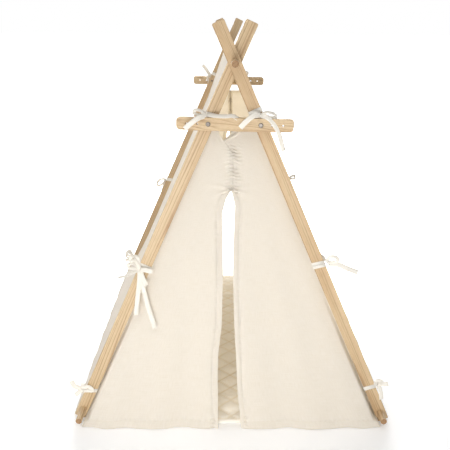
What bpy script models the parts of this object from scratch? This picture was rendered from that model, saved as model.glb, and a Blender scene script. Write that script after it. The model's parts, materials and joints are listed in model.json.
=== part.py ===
"""Children's play teepee: two crossed pole frames, dowels, crossbars, a canvas cover and a floor mat.

Metres, +Z up, the floor at z = 0. X runs across the door, and -Y faces the front.
The origin is the middle of the footprint. The back end is the front end turned half round about Z.
"""

import math

import bmesh
import bpy
from mathutils import Matrix, Vector

# Poles
POLE_LENGTH = 1.500
POLE_WIDTH = 0.040
POLE_THICKNESS = 0.020
POLE_END_RADIUS = 0.005
BOARD_EASE = 0.001
POLE_TOP_REACH = 0.130
LEG_ANGLE = math.radians(23.7)

# Frame spacing and dowels
FRAME_SPACING = 1.400
DOWEL_DIAMETER = 0.022
DOWEL_OVERHANG = 0.058
DOWEL_CHAMFER = 0.0015
DOWEL_FROM_FOOT = 0.0345

# Crossbars and their fasteners
BAR_LENGTH = 0.365
BAR_HEIGHT = 0.041
BAR_THICKNESS = 0.020
BAR_END_RADIUS = 0.012
BAR_BOLT_REACH = 0.082
BAR_HOLE_PITCH = 0.034
BAR_SPARE_HOLES = 2
BAR_HOLE_DIAMETER = 0.007
BOLT_DIAMETER = 0.006
BOLT_HEAD_DIAMETER = 0.015
BOLT_HEAD_HEIGHT = 0.0032
BOLT_SOCKET_ACROSS = 0.0044
BOLT_SOCKET_DEPTH = 0.0018
NUT_DIAMETER = 0.009
NUT_WALL = 0.0011
NUT_CAP = 0.0025
NUT_RECESS = 0.0009

# Cover and mat
CLOTH = 0.0012
SEAM_OVERLAP_ANGLE = math.radians(26.0)
HEM_ABOVE_FLOOR = 0.0006
COVER_TOP_DROP = 0.0035
TOP_BAND_HEIGHT = 0.031
SLIT_WIDTH = 0.082
CLOSURE_LENGTH = 0.155
CLOSURE_LEAN = 0.023
CLOSURE_OFFSET = 0.006
NOTCH_HEIGHT = 0.031
NOTCH_WIDTH = 0.039
FLARE_DEPTH = 0.082
FLARE_HEIGHT = 0.520
FLARE_RAMP = 0.036
FOLD_DEPTH = 0.007
HEM_WAVE_DEPTH = 0.009
SIDE_RIPPLE_DEPTH = 0.004
SIDE_SAG = 0.003
SIDE_DROP = 0.130
SKIRT_HEIGHT = 0.240
SKIRT_REACH = 0.020
MAT_END_ROOM = 0.015
MAT_WIDTH = 0.980
MAT_THICKNESS = 0.012
MAT_CHANNEL_DEPTH = 0.004
MAT_FORWARD = 0.038
MAT_QUILT_PITCH = 0.095

# Ties
TAPE_WIDTH = 0.016
TAPE_THICKNESS = 0.001
KNOT_WIDTH = 0.017
KNOT_HEIGHT = 0.013
KNOT_DEPTH = 0.007
TAIL_LENGTH = 0.043
TAIL_SPREAD = math.radians(8.0)
TIE_HEIGHTS_FRONT_LEFT = (0.112, 0.586)
TIE_HEIGHTS_FRONT_RIGHT = (0.140, 0.608)
TIE_HEIGHTS_BACK_LEFT = (0.094, 0.530)
TIE_HEIGHTS_BACK_RIGHT = (0.112, 0.560)

# Clearances
GAP = 0.0003
BOLT_END_ROOM = 0.0012
CUT_OVERRUN = 0.005
MERGE_DISTANCE = 0.00002

# Shares of the sizes above: heights along the door slit, and its edges as shares of the slit's width
SLIT_LEFT_SHARES = ((0.0, -0.57), (0.22, -0.60), (0.31, -0.585), (0.43, -0.44), (0.65, -0.395),
                    (0.79, -0.41), (0.907, -0.44), (0.966, -0.28), (1.0, -0.08))
SLIT_RIGHT_SHARES = ((0.0, 0.43), (0.035, 0.39), (0.15, 0.26), (0.31, 0.175), (0.43, 0.094), (0.65, 0.02),
                     (0.79, 0.028), (0.935, 0.075), (1.0, -0.07))
PANEL_ROW_SHARES = (0.0, 0.0294, 0.0682, 0.0753, 0.1176, 0.1764, 0.2352, 0.3058, 0.3764, 0.4705,
                    0.5646, 0.6587, 0.7528, 0.8234, 0.8822)
PANEL_COLUMN_SHARES = (0.0, 0.025, 0.055, 0.09, 0.14, 0.2, 0.27, 0.34, 0.41, 0.48, 0.55, 0.62, 0.69, 0.76,
                       0.84, 0.92, 1.0)

# Shares of a side panel's reach outwards and of its height, down its skirt
SKIRT_SHARES = ((0.15, 0.667), (0.45, 0.354), (0.725, 0.242), (0.8375, 0.158), (0.925, 0.075), (1.0, 0.0))

# Counts
ROUND_SEGMENTS = 32
SMALL_ROUND_SEGMENTS = 20
CORNER_SEGMENTS = 4
SIDE_COLUMNS = 14
SIDE_ROWS = 7
WRAP_STEPS = 8
PANEL_FOLDS = 5
SIDE_RIPPLES = 5

# Places that follow from the sizes
POLE_LAYER = POLE_THICKNESS + GAP
FOOT_TO_CROSSING = POLE_LENGTH - POLE_TOP_REACH
FOOT_RISE = ((POLE_WIDTH / 2 - POLE_END_RADIUS) * math.sin(LEG_ANGLE)
             + POLE_END_RADIUS * (1 - math.cos(LEG_ANGLE)))
RIDGE_HEIGHT = FOOT_RISE + FOOT_TO_CROSSING * math.cos(LEG_ANGLE)
FRONT_Y = -FRAME_SPACING / 2
DOWEL_LENGTH = FRAME_SPACING + POLE_THICKNESS + 2 * DOWEL_OVERHANG
MAT_LENGTH = FRAME_SPACING - 2 * MAT_END_ROOM
TIE_ROOM = TAPE_THICKNESS + 2 * GAP
PANEL_Y = FRONT_Y + POLE_LAYER + POLE_THICKNESS / 2 + TIE_ROOM + CLOTH / 2
SIDE_START_Y = PANEL_Y + CLOTH / 2 + GAP
WRAP_RADIUS = DOWEL_DIAMETER / 2 + GAP
SEAM_OFFSET = -POLE_WIDTH / 2
DROP_X = SIDE_DROP * math.tan(LEG_ANGLE) + SEAM_OFFSET / math.cos(LEG_ANGLE)
WRAP_END_ANGLE = (math.pi - math.atan2(DROP_X, SIDE_DROP)
                  - math.acos((WRAP_RADIUS + CLOTH / 2) / math.hypot(DROP_X, SIDE_DROP)))
BAR_SKEW = math.asin(POLE_LAYER / (2 * BAR_BOLT_REACH))
HALF_BOLT_SPAN = BAR_BOLT_REACH * math.cos(BAR_SKEW)
BAR_Z = RIDGE_HEIGHT - HALF_BOLT_SPAN / math.tan(LEG_ANGLE)
COVER_TOP_HEIGHT = BAR_Z - COVER_TOP_DROP
CLOSURE_TOP_HEIGHT = COVER_TOP_HEIGHT - TOP_BAND_HEIGHT - NOTCH_HEIGHT
SLIT_HEIGHT = CLOSURE_TOP_HEIGHT - CLOSURE_LENGTH
TOP_TIE_HEIGHT = (BAR_Z + BAR_HEIGHT / 2 + TAPE_WIDTH / 2 * math.cos(LEG_ANGLE)
                  + (POLE_WIDTH / 2 + TIE_ROOM) * math.sin(LEG_ANGLE) + 2 * GAP)


def collection(name):
    """A new collection linked to the scene."""
    made = bpy.data.collections.new(name)
    bpy.context.scene.collection.children.link(made)
    return made


def material(name, colour, roughness, metallic=0.0):
    """A Principled material with one colour."""
    made = bpy.data.materials.new(name)
    made.use_nodes = True
    shader = made.node_tree.nodes["Principled BSDF"]
    shader.inputs["Base Color"].default_value = (*colour, 1.0)
    shader.inputs["Roughness"].default_value = roughness
    shader.inputs["Metallic"].default_value = metallic
    return made


def add(name, mesh, surface, place, parent=None, group=None):
    """Make one named object from a mesh, placed in the world and carried by its parent."""
    made = bpy.data.objects.new(name, mesh)
    (group or PARTS).objects.link(made)
    if surface is not None and not mesh.materials:
        mesh.materials.append(surface)
    made.matrix_world = place
    if parent is not None:
        made.parent = parent
        made.matrix_parent_inverse = parent.matrix_world.inverted()
    return made


def axis_empty(name, place):
    """An empty that carries the pieces of one body."""
    made = bpy.data.objects.new(name, None)
    PARTS.objects.link(made)
    made.matrix_world = place
    return made


def finish(bm, name, smooth=True):
    """Turn a bmesh into a mesh with outward faces and soft round sides."""
    bmesh.ops.recalc_face_normals(bm, faces=bm.faces)
    mesh = bpy.data.meshes.new(name)
    bm.to_mesh(mesh)
    bm.free()
    if smooth:
        mesh.shade_smooth()
        mesh.set_sharp_from_angle(angle=math.radians(35.0))
    return mesh


def baked(obj):
    """The object's evaluated mesh as plain data, so that copies can share it."""
    bpy.context.view_layer.update()
    evaluated = obj.evaluated_get(bpy.context.evaluated_depsgraph_get())
    mesh = bpy.data.meshes.new_from_object(evaluated)
    mesh.name = obj.name + "_mesh"
    return mesh


def bevel(obj, width, segments):
    """Round the sharp edges of an object."""
    made = obj.modifiers.new("Bevel", "BEVEL")
    made.width = width
    made.segments = segments
    made.limit_method = "ANGLE"
    made.angle_limit = math.radians(40.0)


def boolean(obj, tool, operation="DIFFERENCE"):
    """Cut or join another object, which is kept as a hidden guide."""
    made = obj.modifiers.new("Boolean", "BOOLEAN")
    made.operation = operation
    made.object = tool
    tool.hide_render = True
    tool.display_type = "WIRE"


def rod(diameter, length, segments=ROUND_SEGMENTS):
    """A cylinder along Y, centred on the origin."""
    bm = bmesh.new()
    bmesh.ops.create_cone(bm, cap_ends=True, segments=segments, radius1=diameter / 2, radius2=diameter / 2,
                          depth=length, matrix=Matrix.Rotation(math.pi / 2, 4, "X"))
    return finish(bm, "rod")


def board(length, width, thickness, end_radius):
    """A flat board along Z, centred, with its end corners rounded across the width."""
    bm = bmesh.new()
    bmesh.ops.create_cube(bm, size=1.0, matrix=Matrix.Diagonal((width, thickness, length, 1.0)))
    corners = [e for e in bm.edges if abs(e.verts[0].co.x - e.verts[1].co.x) < GAP
               and abs(e.verts[0].co.z - e.verts[1].co.z) < GAP]
    bmesh.ops.bevel(bm, geom=corners, offset=end_radius, segments=CORNER_SEGMENTS, profile=0.5, affect="EDGES")
    return finish(bm, "board")


def turned(profile, segments, name):
    """A profile of (radius, height) points, top to bottom, turned about Z by a Screw modifier."""
    bm = bmesh.new()
    points = [bm.verts.new((radius, 0.0, height)) for radius, height in profile]
    for upper, lower in zip(points, points[1:]):
        bm.edges.new((upper, lower))
    mesh = bpy.data.meshes.new(name)
    bm.to_mesh(mesh)
    bm.free()
    guide = add(name, mesh, None, Matrix.Identity(4), group=GUIDES)
    screw = guide.modifiers.new("Screw", "SCREW")
    screw.steps = segments
    screw.render_steps = segments
    screw.use_merge_vertices = True
    screw.merge_threshold = MERGE_DISTANCE
    screw.use_smooth_shade = False
    result = baked(guide)
    bpy.data.objects.remove(guide)
    result.shade_smooth()
    result.set_sharp_from_angle(angle=math.radians(35.0))
    return result


def sheet(name, rows, surface, place, parent):
    """A cloth sheet: an open grid of points, given its thickness by a Solidify modifier."""
    bm = bmesh.new()
    grid = [[bm.verts.new(point) for point in row] for row in rows]
    for low, high in zip(grid, grid[1:]):
        for i in range(len(low) - 1):
            bm.faces.new((low[i], low[i + 1], high[i + 1], high[i]))
    mesh = finish(bm, name)
    made = add(name, mesh, surface, place, parent)
    solid = made.modifiers.new("Solidify", "SOLIDIFY")
    solid.thickness = CLOTH
    solid.offset = 0.0
    return made


def smoothstep(value):
    """Ease a value from 0 to 1."""
    value = min(max(value, 0.0), 1.0)
    return value * value * (3 - 2 * value)


def from_shares(shares, share):
    """Read a table of (place, value) pairs at one place."""
    for (low, low_value), (high, high_value) in zip(shares, shares[1:]):
        if share <= high:
            return low_value + (high_value - low_value) * (share - low) / (high - low)
    return shares[-1][1]


def leg_matrix(side, y):
    """The frame of a leg: its origin at the crossing, its own -Z running down to the foot."""
    return Matrix.Translation((0.0, y, RIDGE_HEIGHT)) @ Matrix.Rotation(-side * LEG_ANGLE, 4, "Y")


def bar_matrix():
    """The front crossbar's middle: it leans from the outer pole's face back to the inner pole's."""
    normal = Vector((math.sin(BAR_SKEW), math.cos(BAR_SKEW)))
    touch = Vector((HALF_BOLT_SPAN - POLE_WIDTH / 2 / math.cos(LEG_ANGLE)
                    - BAR_HEIGHT / 2 * math.tan(LEG_ANGLE), -POLE_THICKNESS / 2))
    depth = touch.dot(normal) - BAR_THICKNESS / 2 - GAP
    x = BAR_THICKNESS / 2 * math.sin(BAR_SKEW)
    y = (depth - x * math.sin(BAR_SKEW)) / math.cos(BAR_SKEW)
    return Matrix.Translation((x, FRONT_Y + y, BAR_Z)) @ Matrix.Rotation(-BAR_SKEW, 4, "Z")


def bolt_depth(layer):
    """How far the middle of a pole's layer lies behind the crossbar's middle, along the bolt."""
    middle = FRONT_Y + layer * POLE_LAYER
    centre = bar_matrix().translation
    reach = BAR_BOLT_REACH * (1 if layer == 0 else -1)
    return (middle - centre.y + reach * math.sin(BAR_SKEW)) / math.cos(BAR_SKEW)


def make_pole_mesh(side, layer):
    """A pole in its leg's frame, bored for the ridge, the lower dowel and its sleeve nut."""
    blank = board(POLE_LENGTH, POLE_WIDTH, POLE_THICKNESS, POLE_END_RADIUS)
    middle = Matrix.Translation((0.0, 0.0, POLE_LENGTH / 2 - FOOT_TO_CROSSING))
    blank.transform(middle)
    pole = add("pole_blank", blank, WOOD, Matrix.Identity(4), group=GUIDES)
    bevel(pole, BOARD_EASE, 1)
    bore = rod(DOWEL_DIAMETER + 2 * GAP, POLE_THICKNESS + 2 * CUT_OVERRUN)
    for reach in (0.0, FOOT_TO_CROSSING - DOWEL_FROM_FOOT):
        boolean(pole, add("dowel_bore", bore, None, Matrix.Translation((0.0, 0.0, -reach)), group=GUIDES))
    leg = leg_matrix(side, FRONT_Y + layer * POLE_LAYER)
    reach = BAR_BOLT_REACH * side
    nut_bore = rod(NUT_DIAMETER + 2 * GAP, POLE_THICKNESS + 2 * CUT_OVERRUN, SMALL_ROUND_SEGMENTS)
    bolt_line = bar_matrix() @ Matrix.Translation((reach, bolt_depth(layer), 0.0))
    boolean(pole, add("nut_bore", nut_bore, None, leg.inverted() @ bolt_line, group=GUIDES))
    return baked(pole)


def make_bar_mesh():
    """A crossbar along X, with its bolt holes and the spare holes outside them."""
    blank = board(BAR_LENGTH, BAR_HEIGHT, BAR_THICKNESS, BAR_END_RADIUS)
    blank.transform(Matrix.Rotation(math.pi / 2, 4, "Y"))
    bar = add("bar_blank", blank, WOOD, Matrix.Identity(4), group=GUIDES)
    bevel(bar, BOARD_EASE, 1)
    hole = rod(BAR_HOLE_DIAMETER, BAR_THICKNESS + 2 * CUT_OVERRUN, SMALL_ROUND_SEGMENTS)
    for side in (-1, 1):
        for step in range(BAR_SPARE_HOLES + 1):
            reach = side * (BAR_BOLT_REACH + step * BAR_HOLE_PITCH)
            boolean(bar, add("bar_hole", hole, None, Matrix.Translation((reach, 0.0, 0.0)), group=GUIDES))
    return baked(bar)


def make_bolt_mesh(shank):
    """A low round head with a hexagon socket, and its shank, along Y with the head's seat at y = 0."""
    head = BOLT_HEAD_DIAMETER / 2
    crown_share = 0.8
    rim_share = 0.45
    profile = ((0.0, BOLT_HEAD_HEIGHT), (head * crown_share, BOLT_HEAD_HEIGHT),
               (head, BOLT_HEAD_HEIGHT * rim_share), (head, 0.0), (BOLT_DIAMETER / 2, 0.0),
               (BOLT_DIAMETER / 2, -shank), (0.0, -shank))
    mesh = turned(profile, SMALL_ROUND_SEGMENTS, "bolt_profile")
    bolt = add("bolt_blank", mesh, STEEL, Matrix.Identity(4), group=GUIDES)
    socket = bmesh.new()
    bmesh.ops.create_cone(socket, cap_ends=True, segments=6, radius1=BOLT_SOCKET_ACROSS / 2,
                          radius2=BOLT_SOCKET_ACROSS / 2, depth=2 * BOLT_SOCKET_DEPTH,
                          matrix=Matrix.Translation((0.0, 0.0, BOLT_HEAD_HEIGHT)))
    boolean(bolt, add("bolt_socket", finish(socket, "socket", smooth=False), None, Matrix.Identity(4),
                      group=GUIDES))
    result = baked(bolt)
    result.transform(Matrix.Rotation(math.pi / 2, 4, "X"))
    return result


def make_nut_mesh():
    """A sleeve nut along Y: open towards the bolt, with a closed cap at the pole's inner face."""
    outer = NUT_DIAMETER / 2
    inner = outer - NUT_WALL
    half = POLE_THICKNESS / 2 - NUT_RECESS
    profile = ((0.0, half), (outer, half), (outer, -half), (inner, -half), (inner, half - NUT_CAP),
               (0.0, half - NUT_CAP))
    mesh = turned(profile, SMALL_ROUND_SEGMENTS, "nut_profile")
    mesh.transform(Matrix.Rotation(-math.pi / 2, 4, "X"))
    mesh.materials.append(STEEL)
    return mesh


def leg_line(side, offset, height):
    """X of a line beside a leg's middle line, at one height; a positive offset lies outside."""
    return side * ((RIDGE_HEIGHT - height) * math.tan(LEG_ANGLE) + offset / math.cos(LEG_ANGLE))


def closure_x(height):
    """X of the line on which the two flaps meet above the slit."""
    share = (height - SLIT_HEIGHT) / (CLOSURE_TOP_HEIGHT - SLIT_HEIGHT)
    return -CLOSURE_OFFSET - CLOSURE_LEAN * min(max(share, 0.0), 1.0)


def door_edge(side, height, notched):
    """X of a flap's free edge: the slit, the drawn closure and, at the front, the notch above it."""
    gap = side * GAP / 2
    if height < SLIT_HEIGHT:
        shares = SLIT_LEFT_SHARES if side < 0 else SLIT_RIGHT_SHARES
        return from_shares(shares, height / SLIT_HEIGHT) * SLIT_WIDTH
    if height <= CLOSURE_TOP_HEIGHT:
        return closure_x(height) + gap
    opened = min((height - CLOSURE_TOP_HEIGHT) / NOTCH_HEIGHT, 1.0) if notched else 0.0
    return closure_x(height) + gap + side * opened * NOTCH_WIDTH / 2


def seam_point(side, height):
    """A point of a front flap's outer edge, along the pole's inner edge."""
    return leg_line(side, SEAM_OFFSET, height), PANEL_Y, height


def flap_point(side, share, height, notched):
    """A point of a front flap from the pole's inner edge to the door: it folds and flares forwards."""
    start = leg_line(side, -POLE_WIDTH / 2 - TIE_ROOM - CLOTH, height)
    x = start + (door_edge(side, height, notched) - start) * share
    free = smoothstep((start - x) * side * math.cos(LEG_ANGLE) / FLARE_RAMP)
    down = max(0.0, 1 - height / FLARE_HEIGHT)
    flare = FLARE_DEPTH * down ** 1.6
    gather = smoothstep(1 - height / CLOSURE_TOP_HEIGHT)
    wave = math.sin(share * PANEL_FOLDS * math.pi)
    fold = (FOLD_DEPTH * gather + HEM_WAVE_DEPTH * down ** 2) * (1 + wave) / 2 * smoothstep(share / 0.2)
    return x, PANEL_Y - free * (flare + fold), height


def panel_heights():
    """The heights of a flap's rows of points, closer where its outline turns."""
    rows = [HEM_ABOVE_FLOOR + share * (SLIT_HEIGHT - HEM_ABOVE_FLOOR) for share in PANEL_ROW_SHARES]
    return rows + [SLIT_HEIGHT, (SLIT_HEIGHT + CLOSURE_TOP_HEIGHT) / 2, CLOSURE_TOP_HEIGHT,
                   CLOSURE_TOP_HEIGHT + NOTCH_HEIGHT, COVER_TOP_HEIGHT]


def flap_rows(side, notched):
    """The rows of points of one front flap, from the hem to the top."""
    return [[seam_point(side, height)] + [flap_point(side, share, height, notched) for share in PANEL_COLUMN_SHARES]
            for height in panel_heights()]


def side_profile(side):
    """A side panel's section: over the ridge dowel, along the poles' inner edges, out over the lower dowel."""
    lap = GAP + CLOTH if side > 0 else 0.0
    points = []
    sweep = WRAP_END_ANGLE + SEAM_OVERLAP_ANGLE
    for step in range(WRAP_STEPS + 1):
        beyond = SEAM_OVERLAP_ANGLE - sweep * step / WRAP_STEPS
        clear = smoothstep((beyond + 2.2 * SEAM_OVERLAP_ANGLE) / SEAM_OVERLAP_ANGLE)
        radius = WRAP_RADIUS + CLOTH / 2 + lap * clear
        points.append((-side * radius * math.sin(beyond), RIDGE_HEIGHT + radius * math.cos(beyond)))
    top = RIDGE_HEIGHT - SIDE_DROP
    for step in range(SIDE_ROWS):
        height = top + (SKIRT_HEIGHT - top) * step / (SIDE_ROWS - 1)
        points.append((leg_line(side, SEAM_OFFSET, height), height))
    for reach, share in SKIRT_SHARES:
        height = HEM_ABOVE_FLOOR + (SKIRT_HEIGHT - HEM_ABOVE_FLOOR) * share
        points.append((leg_line(side, SEAM_OFFSET + (SKIRT_REACH - SEAM_OFFSET) * reach, height), height))
    return points


def side_rows(side):
    """The rows of points of one side panel, with shallow ripples outwards between its ends."""
    start, end = SIDE_START_Y, -SIDE_START_Y
    rows = []
    for x, height in side_profile(side):
        slack = SIDE_RIPPLE_DEPTH * smoothstep((RIDGE_HEIGHT - height) / (RIDGE_HEIGHT / 2))
        row = []
        for column in range(SIDE_COLUMNS + 1):
            share = column / SIDE_COLUMNS
            ripple = slack * (1 + math.sin(share * SIDE_RIPPLES * 2 * math.pi)) / 2
            loose = smoothstep((RIDGE_HEIGHT - height) / SIDE_DROP) * smoothstep(height / SKIRT_HEIGHT)
            swell = math.sin(share * math.pi) * (ripple - SIDE_SAG * loose)
            row.append((x + side * swell, start + (end - start) * share, height))
        rows.append(row)
    return rows


def make_mat_mesh():
    """The quilted mat: raised diamonds between diagonal channels, on a flat underside."""
    cell = MAT_QUILT_PITCH / math.sqrt(2)
    columns = max(2, round(MAT_WIDTH / cell))
    rows = max(2, round(MAT_LENGTH / cell))
    bm = bmesh.new()
    grid = [[bm.verts.new((MAT_WIDTH * (i / columns - 0.5), MAT_LENGTH * (j / rows - 0.5), 0.0))
             for i in range(columns + 1)] for j in range(rows + 1)]
    faces = []
    for j in range(rows):
        for i in range(columns):
            ring = (grid[j][i], grid[j][i + 1], grid[j + 1][i + 1], grid[j + 1][i])
            if (i + j) % 2 == 0:
                faces += [bm.faces.new(ring[:3]), bm.faces.new((ring[0], ring[2], ring[3]))]
            else:
                faces += [bm.faces.new(ring[1:]), bm.faces.new((ring[3], ring[0], ring[1]))]
    below = bmesh.ops.extrude_face_region(bm, geom=faces)
    bottom = {item for item in below["geom"] if isinstance(item, bmesh.types.BMVert)}
    for j, row in enumerate(grid):
        for i, point in enumerate(row):
            edge = i in (0, columns) or j in (0, rows)
            centre = (i + j) % 2 == 1 and not edge
            point.co.z = MAT_THICKNESS if centre else MAT_THICKNESS - MAT_CHANNEL_DEPTH
    for point in bottom:
        point.co.z = HEM_ABOVE_FLOOR
    return finish(bm, "mat")


def make_tie_mesh(outer):
    """A tape tied round a pole, in the pole's frame: band, knot and two hanging tails."""
    room = 2 * GAP
    bm = bmesh.new()
    wide, deep = POLE_WIDTH + room + 2 * TAPE_THICKNESS, POLE_THICKNESS + room + 2 * TAPE_THICKNESS
    bmesh.ops.create_cube(bm, size=1.0, matrix=Matrix.Diagonal((wide, deep, TAPE_WIDTH, 1.0)))
    tie = add("tie_band", finish(bm, "tie_band", smooth=False), TAPE, Matrix.Identity(4), group=GUIDES)
    inside = bmesh.new()
    bmesh.ops.create_cube(inside, size=1.0, matrix=Matrix.Diagonal(
        (POLE_WIDTH + room, POLE_THICKNESS + room, TAPE_WIDTH + 2 * CUT_OVERRUN, 1.0)))
    boolean(tie, add("tie_inside", finish(inside, "tie_inside", smooth=False), None, Matrix.Identity(4),
                     group=GUIDES))
    front = -deep / 2
    knot = bmesh.new()
    bmesh.ops.create_uvsphere(knot, u_segments=12, v_segments=8, radius=0.5, matrix=Matrix.Translation(
        (0.0, front + TAPE_THICKNESS / 2 - KNOT_DEPTH / 2, 0.0)) @ Matrix.Diagonal((KNOT_WIDTH, KNOT_DEPTH, KNOT_HEIGHT, 1.0)))
    boolean(tie, add("tie_knot", finish(knot, "tie_knot"), None, Matrix.Identity(4), group=GUIDES), "UNION")
    for lean in (-1, 1):
        tail = bmesh.new()
        hang = Matrix.Translation((0.0, front - KNOT_DEPTH / 4 - lean * TAPE_THICKNESS, 0.0))
        turn = Matrix.Rotation(lean * TAIL_SPREAD, 4, "Y")
        down = Matrix.Translation((0.0, 0.0, -TAIL_LENGTH / 2))
        size = Matrix.Diagonal((TAPE_WIDTH / 2, TAPE_THICKNESS, TAIL_LENGTH, 1.0))
        bmesh.ops.create_cube(tail, size=1.0, matrix=hang @ turn @ down @ size)
        boolean(tie, add("tie_tail", finish(tail, "tie_tail", smooth=False), None, Matrix.Identity(4),
                         group=GUIDES), "UNION")
    if outer:
        root = bmesh.new()
        reach = POLE_LAYER + TAPE_THICKNESS / 2
        bmesh.ops.create_cube(root, size=1.0, matrix=Matrix.Translation(
            (TAPE_THICKNESS / 2 - wide / 2, deep / 2 - TAPE_THICKNESS / 2 + reach / 2, 0.0)) @ Matrix.Diagonal(
            (TAPE_THICKNESS, reach, TAPE_WIDTH, 1.0)))
        boolean(tie, add("tie_root", finish(root, "tie_root", smooth=False), None, Matrix.Identity(4),
                         group=GUIDES), "UNION")
    return baked(tie)


def build_end(name, turn, bodies):
    """One end frame: two crossed poles, the crossbar with its bolts and nuts, two flaps and six ties.

    The outer pole is on the side +1 before the turn, the inner pole on the side -1.
    """
    names = {1: "right", -1: "left"} if turn == Matrix.Identity(4) else {1: "left", -1: "right"}
    seat = turn @ bar_matrix()
    carrier = bodies[names[1]]
    add("crossbar_" + name, MESHES["bar"], WOOD, seat, carrier)
    for side, layer in ((1, 0), (-1, 1)):
        word = names[side]
        body = bodies[word]
        leg = turn @ leg_matrix(side, FRONT_Y + layer * POLE_LAYER)
        add(f"pole_{name}_{word}", MESHES["pole", side], WOOD, leg, body)
        reach = side * BAR_BOLT_REACH
        head = seat @ Matrix.Translation((reach, -BAR_THICKNESS / 2 - GAP, 0.0))
        add(f"bolt_{name}_{word}", MESHES["bolt", side], STEEL, head, carrier)
        add(f"nut_{name}_{word}", MESHES["nut"], STEEL,
            seat @ Matrix.Translation((reach, bolt_depth(layer), 0.0)), body)
        sheet(f"flap_{name}_{word}", flap_rows(side, name == "front"), CANVAS, turn, body)
        heights = (*TIE_HEIGHTS[name, word], TOP_TIE_HEIGHT)
        for level, height in zip(("low", "middle", "top"), heights):
            down = (RIDGE_HEIGHT - height) / math.cos(LEG_ANGLE)
            place = leg @ Matrix.Translation((0.0, 0.0, -down))
            if level == "top":
                place = place @ Matrix.Rotation(math.pi, 4, "Y")
            add(f"tie_{name}_{word}_{level}", MESHES["tie", side], TAPE, place, body)


for existing in list(bpy.data.objects):
    bpy.data.objects.remove(existing)

PARTS = collection("kids_teepee")
GUIDES = collection("cutters")

WOOD = material("pine_board", (0.72, 0.50, 0.29), 0.55)
DOWEL_WOOD = material("dowel_pine", (0.70, 0.49, 0.29), 0.55)
CANVAS = material("cotton_canvas", (0.82, 0.76, 0.67), 0.9)
TAPE = material("cotton_tape", (0.84, 0.80, 0.72), 0.85)
QUILT = material("quilted_cotton", (0.72, 0.60, 0.44), 0.9)
STEEL = material("dark_steel", (0.30, 0.27, 0.24), 0.4, 0.9)

TIE_HEIGHTS = {
    ("front", "left"): TIE_HEIGHTS_FRONT_LEFT,
    ("front", "right"): TIE_HEIGHTS_FRONT_RIGHT,
    ("back", "left"): TIE_HEIGHTS_BACK_LEFT,
    ("back", "right"): TIE_HEIGHTS_BACK_RIGHT,
}
bolt_shanks = {
    1: BAR_THICKNESS / 2 + bolt_depth(0) + POLE_THICKNESS / 2 - NUT_RECESS - NUT_CAP - BOLT_END_ROOM,
    -1: BAR_THICKNESS,
}
MESHES = {
    ("pole", 1): make_pole_mesh(1, 0),
    ("pole", -1): make_pole_mesh(-1, 1),
    "bar": make_bar_mesh(),
    ("bolt", 1): make_bolt_mesh(bolt_shanks[1]),
    ("bolt", -1): make_bolt_mesh(bolt_shanks[-1]),
    "nut": make_nut_mesh(),
    ("tie", 1): make_tie_mesh(outer=True),
    ("tie", -1): make_tie_mesh(outer=False),
}

ridge = Matrix.Translation((0.0, 0.0, RIDGE_HEIGHT))
left_frame = axis_empty("left_frame", ridge)
right_frame = axis_empty("right_frame", ridge)
frames = {"left": left_frame, "right": right_frame}

build_end("front", Matrix.Identity(4), frames)
build_end("back", Matrix.Rotation(math.pi, 4, "Z"), frames)

dowel = rod(DOWEL_DIAMETER, DOWEL_LENGTH)
ridge_dowel = add("dowel_ridge", dowel, DOWEL_WOOD, ridge, left_frame)
bevel(ridge_dowel, DOWEL_CHAMFER, 2)
for side, word in ((-1, "left"), (1, "right")):
    low = leg_matrix(side, 0.0) @ Matrix.Translation((0.0, 0.0, DOWEL_FROM_FOOT - FOOT_TO_CROSSING))
    low_dowel = add(f"dowel_{word}", dowel, DOWEL_WOOD, low, frames[word])
    bevel(low_dowel, DOWEL_CHAMFER, 2)
    sheet(f"cover_side_{word}", side_rows(side), CANVAS, Matrix.Identity(4), frames[word])

add("floor_mat", make_mat_mesh(), QUILT, Matrix.Translation((0.0, -MAT_FORWARD, 0.0)), left_frame)

for guide in GUIDES.objects:
    guide.hide_render = True
    guide.display_type = "WIRE"
bpy.context.view_layer.update()
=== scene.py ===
"""Children's play teepee: the wood grain, the sewn cover, its tied tapes and the quilted mat, over the
loaded frame. Laid out as a Blender add-on: one operator for each group of pieces and one for the stage.

Metres, +Z up, the floor at z = 0. X runs across the door, and -Y faces the front.
The back end is the front end turned half round about Z.
"""

import json
import math

import bpy
import numpy as np
from mathutils import Matrix, Vector


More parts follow.
